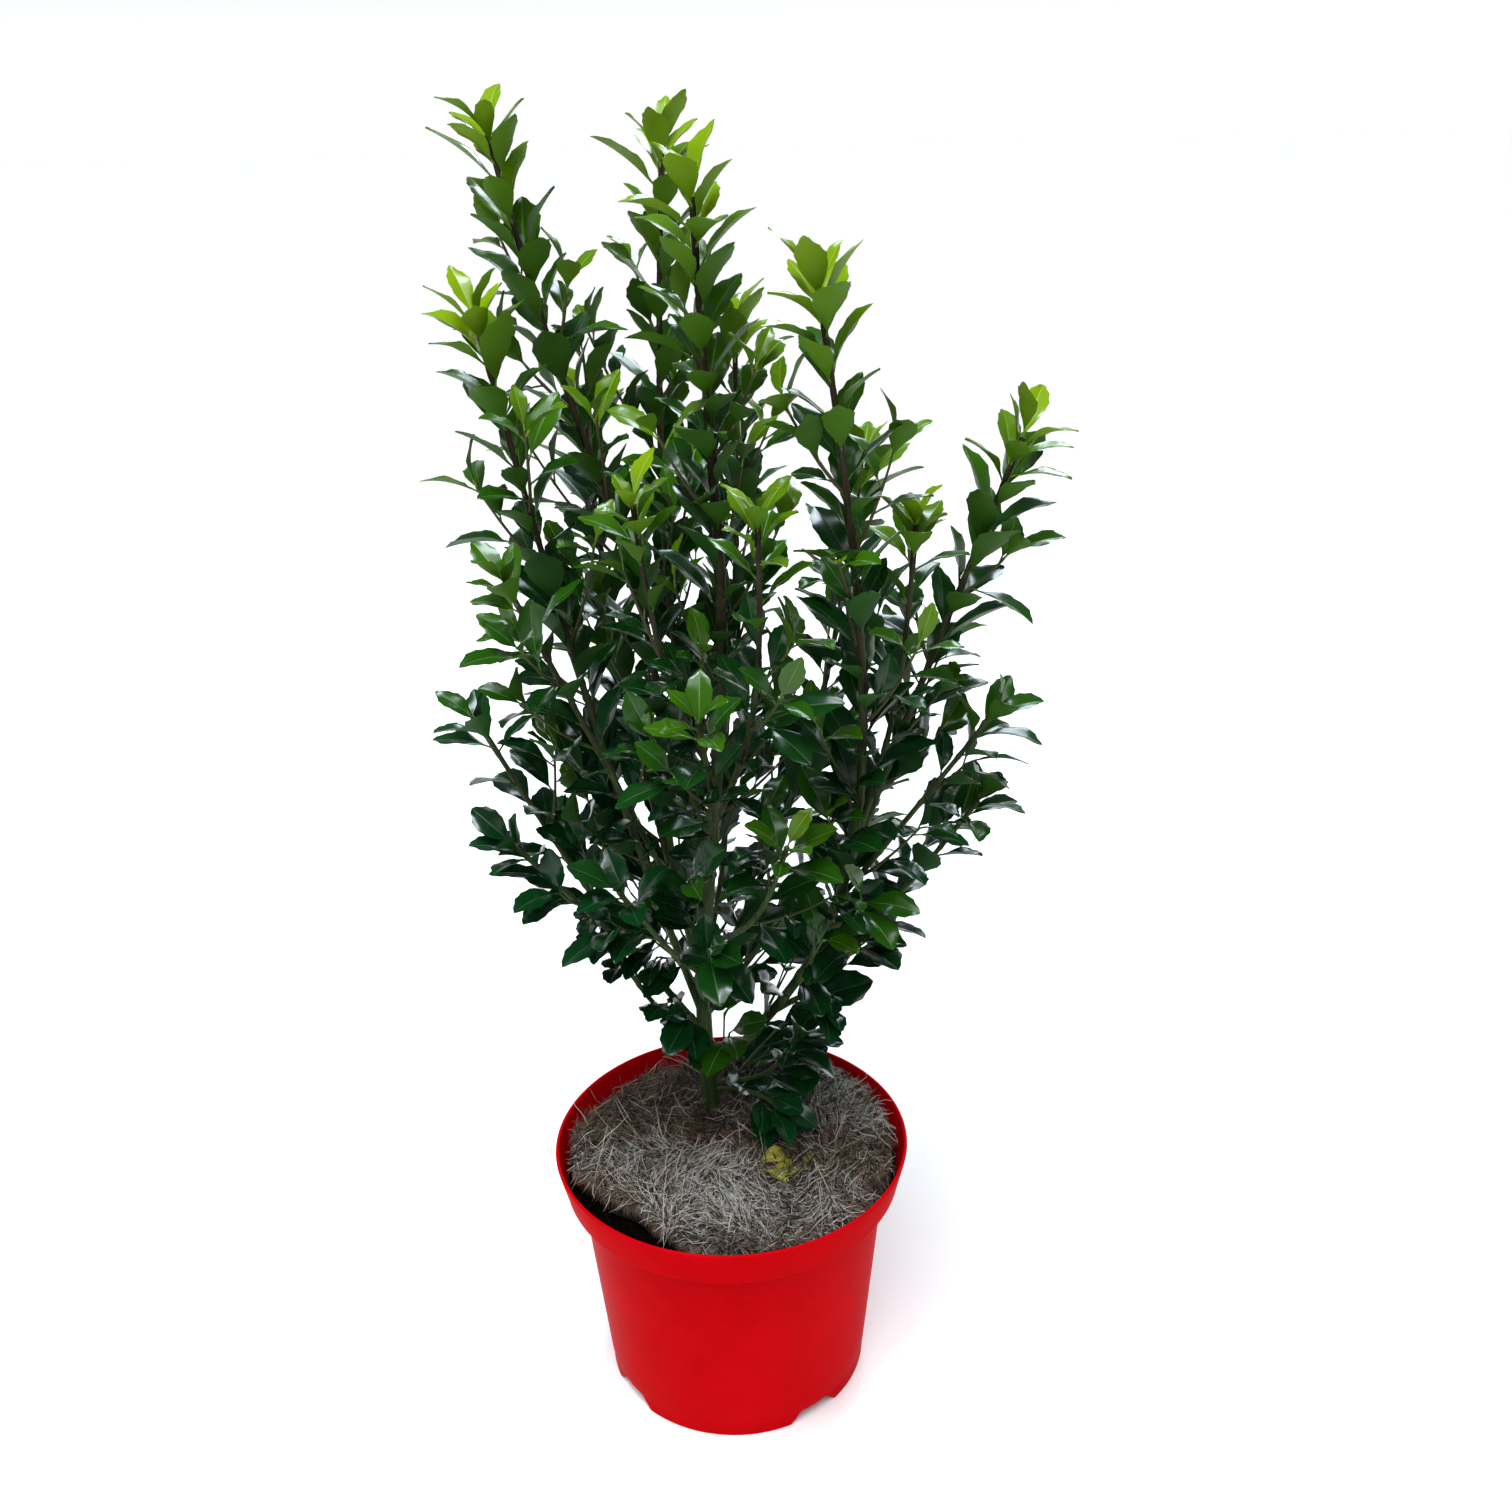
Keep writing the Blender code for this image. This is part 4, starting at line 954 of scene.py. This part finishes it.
def grow_twigs(name, stem, own, start, longest, habit):
    """Side twigs by the golden angle, shorter towards the stem's tip. Each is a parabola: a straight
    line plus the square of the distance along it times a rise to the light."""
    rng = chances[name]
    azimuth = rng.uniform(0, math.tau)
    twigs = []
    distance = start
    while longest and distance < stem.length - habit.free_tip:
        root, axis, radius = stem.at(distance)
        rise = (axis + UP * TWIG_LIGHT).normalized() * TWIG_RISE
        azimuth += GOLDEN_ANGLE
        for attempt, turn in tries(azimuth, TWIG_TRY_TURN):
            along, _ = leaving(axis, turn, TWIG_ANGLE)
            length = min(longest, habit.taper * (stem.length - distance))
            length = length * rng.uniform(*TWIG_LENGTH_SPREAD) * (1 - TWIG_TRY_SHRINK * attempt)
            share = np.linspace(0, 1, TWIG_POINTS)[:, None]
            line = np.array(root) + (np.array(along) * share + np.array(rise) * share**2) * length
            thick = min(TWIG_RADIUS, radius * TWIG_TO_STEM)
            if not clears_pot(line[2:]) or not over_skirt(name, line[-1:]):
                continue
            if not within_reach(line) or not crown.is_own_space(name, line[[5, -1]]):
                continue
            twig = Stem(line, thick + (TWIG_TIP_RADIUS - thick) * share[:, 0])
            tree, middle = tube_tree(twig, 4), line[TWIG_POINTS // 2]
            if crown.is_free(tree, middle, length * TWIG_REACH, own):
                stem.knots.append(distance)
                twigs.append((name, twig, crown.place(tree, middle, length * TWIG_REACH)))
                break
        distance += habit.twig_step * rng.uniform(*TWIG_STEP_SPREAD) * lowered(LOW_SPACING, root.z)
    return twigs


def habit_of(name):
    """How a limb grows, by how fresh its tip is."""
    fresh = limbs[name].fresh
    kind = "leader" if fresh > LARGE_LEAVED else "upper" if fresh > LEADING else "lower"
    return HABITS["shoot" if name in SHOOTS else kind]


tubes = {}
for name, stem in stems.items():
    crown.lines[name] = stem.points[:: len(stem.points) // 60]
    tubes[name] = crown.place(tube_tree(stem, 24), stem.points[len(stem.points) // 2], stem.length)

limbs["trunk"] = Limb("", 0, (), CROWN_TIP, 0, TRUNK_TWIG, 1.0)
twigs, twiglets = [], []
for name, stem in stems.items():
    start = TRUNK_TWIGS_FROM - SOIL_TOP if name == "trunk" else BARE_FOOT
    twigs += grow_twigs(name, stem, tubes[name], start, limbs[name].twig * MM, habit_of(name))
for name, twig, own in twigs:
    if twig.points[0, 2] < TWIGLETS_BELOW:
        habit = HABITS["twig"]
        twiglets += grow_twigs(name, twig, own, habit.twig_step, TWIGLET_LENGTH, habit)
for name, stem in stems.items():
    start = TRUNK_LEAVES_FROM * MM - stem.points[0, 2] if name == "trunk" else BARE_FOOT
    grow_leaves(name, stem, tubes[name], start, limbs[name].fresh, habit_of(name))
for name, twig, own in twigs + twiglets:
    grow_leaves(name, twig, own, TWIG_LEAVES_FROM, limbs[name].fresh * TWIG_FRESH, HABITS["twig"])

masses = sorted(n for n in frame["nodes"] if n.startswith("mass_"))
boughs = sorted(n for n in frame["nodes"] if n.startswith("bough_"))

bark = Paint("young_bark", roughness=0.6, specular_ior_level=0.12)
streaks = bark.noise(180.0, 4.0, bark.stretched(1, 1, 0.12))
pores = bark.noise(700.0, 2.0).clamped(0.62, 0.72)
ripening = (bark.height() + streaks * 0.12).clamped(0.38, 0.62)
green = bark.mixed(streaks.clamped(0.35, 0.65), (0.022, 0.042, 0.011), (0.062, 0.095, 0.028))
brown = bark.mixed(streaks.clamped(0.35, 0.65), (0.015, 0.011, 0.006), (0.046, 0.034, 0.018))
skin = bark.mixed(ripening, green, brown)
bark.colour(bark.mixed(pores * 0.3, skin, (0.15, 0.13, 0.08)))
bark.roughness(streaks * 0.25 + 0.36)
bark.bump(streaks + pores * 0.4, 0.0004)

RIDGE, TRUNK_RIDGE = 0.020, 0.022
shaping = np.random.default_rng(3)
trunk_tube = bark_tube(stems["trunk"], 320, 28, TRUNK_RIDGE, shaping)
joined_tubes("trunk_bark", [trunk_tube], bark, ["trunk"])
bough_tubes = [bark_tube(stems[name], 150, 14, RIDGE, shaping) for name in LIMBS]
joined_tubes("bough_bark", bough_tubes, bark, boughs)

twig_bark = Paint("twig_bark", roughness=0.55, specular_ior_level=0.2)
twig_age = (twig_bark.noise(60.0, 2.0) * 0.3 + twig_bark.height()).clamped(0.35, 0.85)
twig_bark.colour(twig_bark.mixed(twig_age, (0.036, 0.058, 0.014), (0.080, 0.062, 0.026)))
twig_bark.bump(twig_bark.noise(900.0, 2.0), 0.0001)
twig_tubes = [bark_tube(stems[name], 60, 8, RIDGE, shaping) for name in SHOOTS]
twig_tubes += [bark_tube(twig, 20, 6, 0.0, shaping) for _, twig, _ in twigs + twiglets]
joined_tubes("twigs", twig_tubes, twig_bark, masses)

# Across a leaf: left margin, left middle, both sides of the midrib, right middle, right margin, keel
LEAF_ACROSS = np.array([-1, -0.52, -0.05, 0.05, 0.52, 1, 0])
LEAF_ALONG = np.array([0, 0.08, 0.16, 0.23, 0.31, 0.40, 0.49, 0.57, 0.65, 0.73, 0.81, 0.88, 0.94, 1.0])
STALK_END = 0.165
STALK_HALF = 0.00055
BLADE_WIDEST = 0.55
BLADE_HALF_WIDTH = 0.202
BASE_POWER, TIP_POWER, LOW_ROUNDER, TIP_DRAWN_IN = 0.95, 2.1, 0.4, 0.16
YOUNG_NARROWER, LOW_WIDER = 0.14, 0.12
TOOTH = 0.060
TOOTH_LEAN = 0.0006
TEETH_FROM, TEETH_TO = 0.45, 0.97
LEAF_THICK = 0.00038
MIDRIB_SINK = 0.00012
LEAF_BULGE = 0.10
LEAF_WAVE = 0.0006
FOLD_SPREAD = (0.14, 0.46)
WIDTH_SPREAD = (0.88, 1.12)
ARC_LEAST, ARC_PER_DROOP, ARC_SINK = 0.225, 1.95, 1.2


def leaf_outline(length, width, low):
    """Half width along each leaf: a rising sine from the wedge-shaped base to the widest place, then a
    falling power curve to the pointed tip, rounder on low leaves."""
    blade = np.clip((LEAF_ALONG - STALK_END) / (1 - STALK_END), 0, 1)[None]
    rising = np.sin(np.clip(blade / BLADE_WIDEST, 0, 1) * math.pi / 2) ** BASE_POWER
    near_tip = np.clip((blade - BLADE_WIDEST) / (1 - BLADE_WIDEST), 0, 1)
    falling = 1 - near_tip ** (TIP_POWER + LOW_ROUNDER * low[:, None])
    falling *= 1 - TIP_DRAWN_IN * near_tip**2
    half = np.where(blade < BLADE_WIDEST, rising, falling) * BLADE_HALF_WIDTH
    least = STALK_HALF * np.where(LEAF_ALONG > TEETH_TO, 0.25, 1)
    return np.maximum(half * width[:, None] * length[:, None], least)


def leaf_arc(length, droop):
    """How far each midrib runs and rises, and its slope: an arc of a circle that starts above the
    leaf's direction, ends below it, and turns more on a leaf that droops more."""
    turn = ARC_LEAST + ARC_PER_DROOP * droop
    first = turn * 0.5 - ARC_SINK * droop
    slope = first[:, None] - turn[:, None] * LEAF_ALONG
    run = length[:, None] * (np.sin(first)[:, None] - np.sin(slope)) / turn[:, None]
    rise = length[:, None] * (np.cos(slope) - np.cos(first)[:, None]) / turn[:, None]
    return run, rise, slope


def leaf_sections(half, rng):
    """Each section's points: how far they lie to the side, above the midrib and ahead. The two halves
    fold up from the midrib, bulge by a parabola, wave, and end in a toothed margin. The keel below
    closes the section."""
    v, u = LEAF_ACROSS[:-1], np.abs(LEAF_ACROSS[:-1])
    blade = LEAF_ALONG > STALK_END
    opening = np.clip((LEAF_ALONG - STALK_END) * 8, 0, 1) * (1 - 0.45 * LEAF_ALONG**2)
    fold = rng.uniform(*FOLD_SPREAD, len(half))[:, None] * opening
    wave = LEAF_WAVE * np.sin(LEAF_ALONG * 14 + rng.uniform(0, 6, len(half))[:, None]) * (LEAF_ALONG > 0.3)
    toothed = (np.arange(len(LEAF_ALONG)) % 2 == 0) & (LEAF_ALONG > TEETH_FROM) & (LEAF_ALONG < TEETH_TO)
    margin = np.where(toothed, 1 + TOOTH, 1 - TOOTH * 0.3)[:, None]
    at = half[..., None] * u * np.where(u == 1, margin, 1)
    bulge = half[..., None] * LEAF_BULGE * (1 - (2 * u - 1) ** 2)
    lift = at * np.tan(fold)[..., None] + bulge + wave[..., None] * u**2 - np.where(u < 0.1, MIDRIB_SINK, 0)
    lift = np.where(blade[:, None], lift, STALK_HALF * np.sqrt(1 - v**2))
    keel = np.where(blade, -LEAF_THICK - 0.0004 * (1 - LEAF_ALONG), -STALK_HALF)
    sides = np.concatenate([np.sign(v) * at, np.zeros_like(half)[..., None]], -1)
    lifts = np.concatenate([lift, np.broadcast_to(keel, half.shape)[..., None]], -1)
    return sides, lifts, np.where(toothed[:, None] & (np.abs(LEAF_ACROSS) == 1), TOOTH_LEAN, 0)


def leaf_points(leaves, seed):
    """All leaves at once, each section set square to the midrib's arc at its place."""
    rng = np.random.default_rng(seed)
    root, along, facing, length, droop, youth, _ = (np.array(column) for column in zip(*leaves))
    across = unit(np.cross(facing, along))
    low = lowness(root[:, 2])
    width = rng.uniform(*WIDTH_SPREAD, len(leaves)) * (1 - YOUNG_NARROWER * youth + LOW_WIDER * low)
    run, rise, slope = leaf_arc(length, droop)
    sides, lifts, ahead = leaf_sections(leaf_outline(length, width, low), rng)
    sine, cosine = np.sin(slope)[:, :, None], np.cos(slope)[:, :, None]
    forward = run[:, :, None] + cosine * ahead - sine * lifts
    height = rise[:, :, None] + sine * ahead + cosine * lifts
    ways = ((along, forward), (across, sides), (np.cross(along, across), height))
    return root[:, None, None] + sum(way[:, None, None] * far[..., None] for way, far in ways)


def leaf_faces(count):
    """Faces of leaves that follow each other, and the look of each: blade, midrib or underside."""
    rows, sides = len(LEAF_ALONG), len(LEAF_ACROSS)
    faces = tube_faces(count, rows, sides)
    strip = np.tile(np.arange(sides), rows - 1)
    row = np.repeat(np.arange(rows - 1), sides)
    look = np.select([row < 2, strip == 2, strip >= 5], [1, 1, 2], 0)
    return faces, np.concatenate([np.tile(look, count), np.ones(2 * count)])


# Blade, midrib and underside of each tone of leaf, and the least tone a leaf needs for it. The tone
# falls with age and with lowness in the crown, so the dark low tones are partly painted shade.
LEAF_TONES = {
    "new": ((0.155, 0.255, 0.001), (0.25, 0.34, 0.02), (0.128, 0.232, 0.001), 0.96),
    "fresh": ((0.070, 0.148, 0.001), (0.15, 0.23, 0.01), (0.068, 0.155, 0.001), 0.66),
    "bright": ((0.026, 0.088, 0.001), (0.07, 0.15, 0.01), (0.040, 0.114, 0.001), 0.44),
    "middle": ((0.0105, 0.056, 0.0015), (0.040, 0.11, 0.010), (0.025, 0.087, 0.002), 0.28),
    "dark": ((0.0038, 0.037, 0.0040), (0.020, 0.072, 0.010), (0.014, 0.064, 0.006), 0.14),
    "deep": ((0.0016, 0.028, 0.0052), (0.010, 0.050, 0.010), (0.0070, 0.048, 0.007), -math.inf),
}
TONE_FROM, TONE_REACH = 0.30, 0.42
YOUTH_SHARE, HEIGHT_SHARE, LUCK_SHARE = 0.95, 0.46, 0.10


def leaf_tone(leaf):
    """From 1 for new growth to 0 for the oldest, lowest leaves, by nearness to a fresh tip, by the height
    along a curve that is level at both ends, and a little by chance. Lower leaves get darker tones:
    partly age, partly painted shade of the lower crown."""
    height = min(1.0, max(0.0, (leaf.root.z - TONE_FROM) / TONE_REACH))
    height_age_and_shade = HEIGHT_SHARE * height * height * (3 - 2 * height)
    return leaf.youth * YOUTH_SHARE + height_age_and_shade + LUCK_SHARE * (leaf.luck - 0.35)


tone_above = math.inf
for seed, (tone, (top, rib, below, least)) in enumerate(LEAF_TONES.items(), 40):
    chosen = [leaf for leaf in crown.leaves if least <= leaf_tone(leaf) < tone_above]
    tone_above = least
    blade = Paint(f"leaf_{tone}", base_color=top, roughness=0.20, specular_ior_level=0.36)
    midrib = Paint(f"midrib_{tone}", base_color=rib, roughness=0.45)
    under = Paint(f"underside_{tone}", base_color=below, roughness=0.6, specular_ior_level=0.25)
    faces, look = leaf_faces(len(chosen))
    leaves = leaf_points(chosen, seed)
    make_piece(f"leaves_{tone}", leaves, faces, [blade, midrib, under], masses, look, sharp=75)

# Withered leaves
# A few leaves that yellowed and fell from the foot of the shrub. They lie loose and curled up on the
# fibre mat in front of the stem.

# Each fallen leaf: place in millimetres, turn in degrees, and size beside a full leaf
FALLEN = (
    (25, -19, 15, 0.62),
    (33, -28, 100, 0.56),
    (26, -33, 320, 0.52),
    (40, -32, 200, 0.46),
    (47, -19, 75, 0.44),
)
FALLEN_CLEARANCE = 0.0070
FALLEN_DROOP = 0.24


def fallen_leaf(x, y, turn, size):
    """A leaf on the mat, tilted and more curled than a fresh one."""
    along = Vector((math.cos(math.radians(turn)), math.sin(math.radians(turn)), 0.32)).normalized()
    middle = Vector((x * MM, y * MM, float(nap_top(x * MM, y * MM)) + FALLEN_CLEARANCE))
    facing = (UP + Vector((math.sin(turn), math.cos(turn), 0)) * 0.45).normalized()
    length = LEAF_LENGTH * size
    return Leaf(middle - along * length / 2, along, facing, length, FALLEN_DROOP, 0, 0)


yellow = Paint("withered_blade", roughness=0.5, specular_ior_level=0.25)
blotches = yellow.noise(90.0, 3.0).clamped(0.42, 0.60)
yellow.colour(yellow.mixed(blotches, (0.075, 0.085, 0.010), (0.30, 0.27, 0.020)))
yellow_rib = Paint("withered_midrib", base_color=(0.40, 0.34, 0.06), roughness=0.6)
yellow_under = Paint("withered_underside", base_color=(0.27, 0.21, 0.035), roughness=0.7)
faces, look = leaf_faces(len(FALLEN))
withered = leaf_points([fallen_leaf(*leaf) for leaf in FALLEN], 50)
yellows = [yellow, yellow_rib, yellow_under]
make_piece("withered_leaves", withered, faces, yellows, (), look, sharp=75)

# Floor, light and camera
# The plant stands on a plain pale floor under soft studio light. The camera is where the photograph
# was taken from, a little above the plant's top and looking down on it.

FLOOR_HALF = 30.0
HORIZON, ZENITH = (1.02, 1.03, 1.04), (0.13, 0.16, 0.19)
SKY_FADE = (0.04, 0.35)

floor_look = Paint("pale_floor", base_color=(0.985, 0.965, 0.96), roughness=0.9)
floor_mesh = bpy.data.meshes.new("floor")
corners = [(x * FLOOR_HALF, y * FLOOR_HALF, 0) for x, y in ((-1, -1), (1, -1), (1, 1), (-1, 1))]
floor_mesh.from_pydata(corners, [], [(0, 1, 2, 3)])
floor_mesh.materials.append(floor_look.material)
put("floor", floor_mesh)

sky = Paint("studio", bpy.data.worlds, "Background")
upwards = sky.height(sky.node("ShaderNodeTexCoord", output="Generated"))
sky.feed(sky.shader.inputs["Color"], sky.mixed(upwards.clamped(*SKY_FADE), HORIZON, ZENITH))
bpy.context.scene.world = sky.material


def soft_light(name, place, size, power, colour):
    """A square area light that faces the middle of the plant."""
    data = bpy.data.lights.new(name, "AREA")
    data.size = size
    data.energy = power
    data.color = colour
    made = put(name, data)
    made.location = place
    made.rotation_euler = (LIT_MIDDLE - Vector(place)).to_track_quat("-Z", "Y").to_euler()


LIT_MIDDLE = Vector((0, 0, 0.45))
soft_light("window", (-0.3, -0.35, 2.0), 0.5, 20, (0.76, 0.90, 1.0))
soft_light("back", (0.5, 1.5, 1.7), 0.8, 24, (0.80, 0.92, 1.0))

sun = put("overcast", bpy.data.lights.new("overcast", "SUN"))
sun.data.energy = 3.05
sun.data.angle = math.radians(52)
sun.rotation_euler = (math.radians(24), math.radians(-5), 0)

CAMERA_PLACE = (0.02078034, -0.77951915, 0.76132999)
CAMERA_RIGHT = (0.99974687, -0.00892493, -0.02065281)
CAMERA_UP = (0.02249873, 0.39658568, 0.91772196)
CAMERA_AHEAD = (0.0, 0.91795432, -0.3966861)
view = bpy.data.cameras.new("photo_view")
view.sensor_width = 36.0
view.lens = view.sensor_width * 1513 / 1512
view.clip_start = 0.01
camera = put("photo_view", view)
rows = zip(CAMERA_RIGHT, CAMERA_UP, [-c for c in CAMERA_AHEAD], CAMERA_PLACE)
camera.matrix_world = Matrix([list(row) for row in rows] + [[0, 0, 0, 1]])
bpy.context.scene.camera = camera
bpy.context.scene.view_settings.view_transform = "Standard"
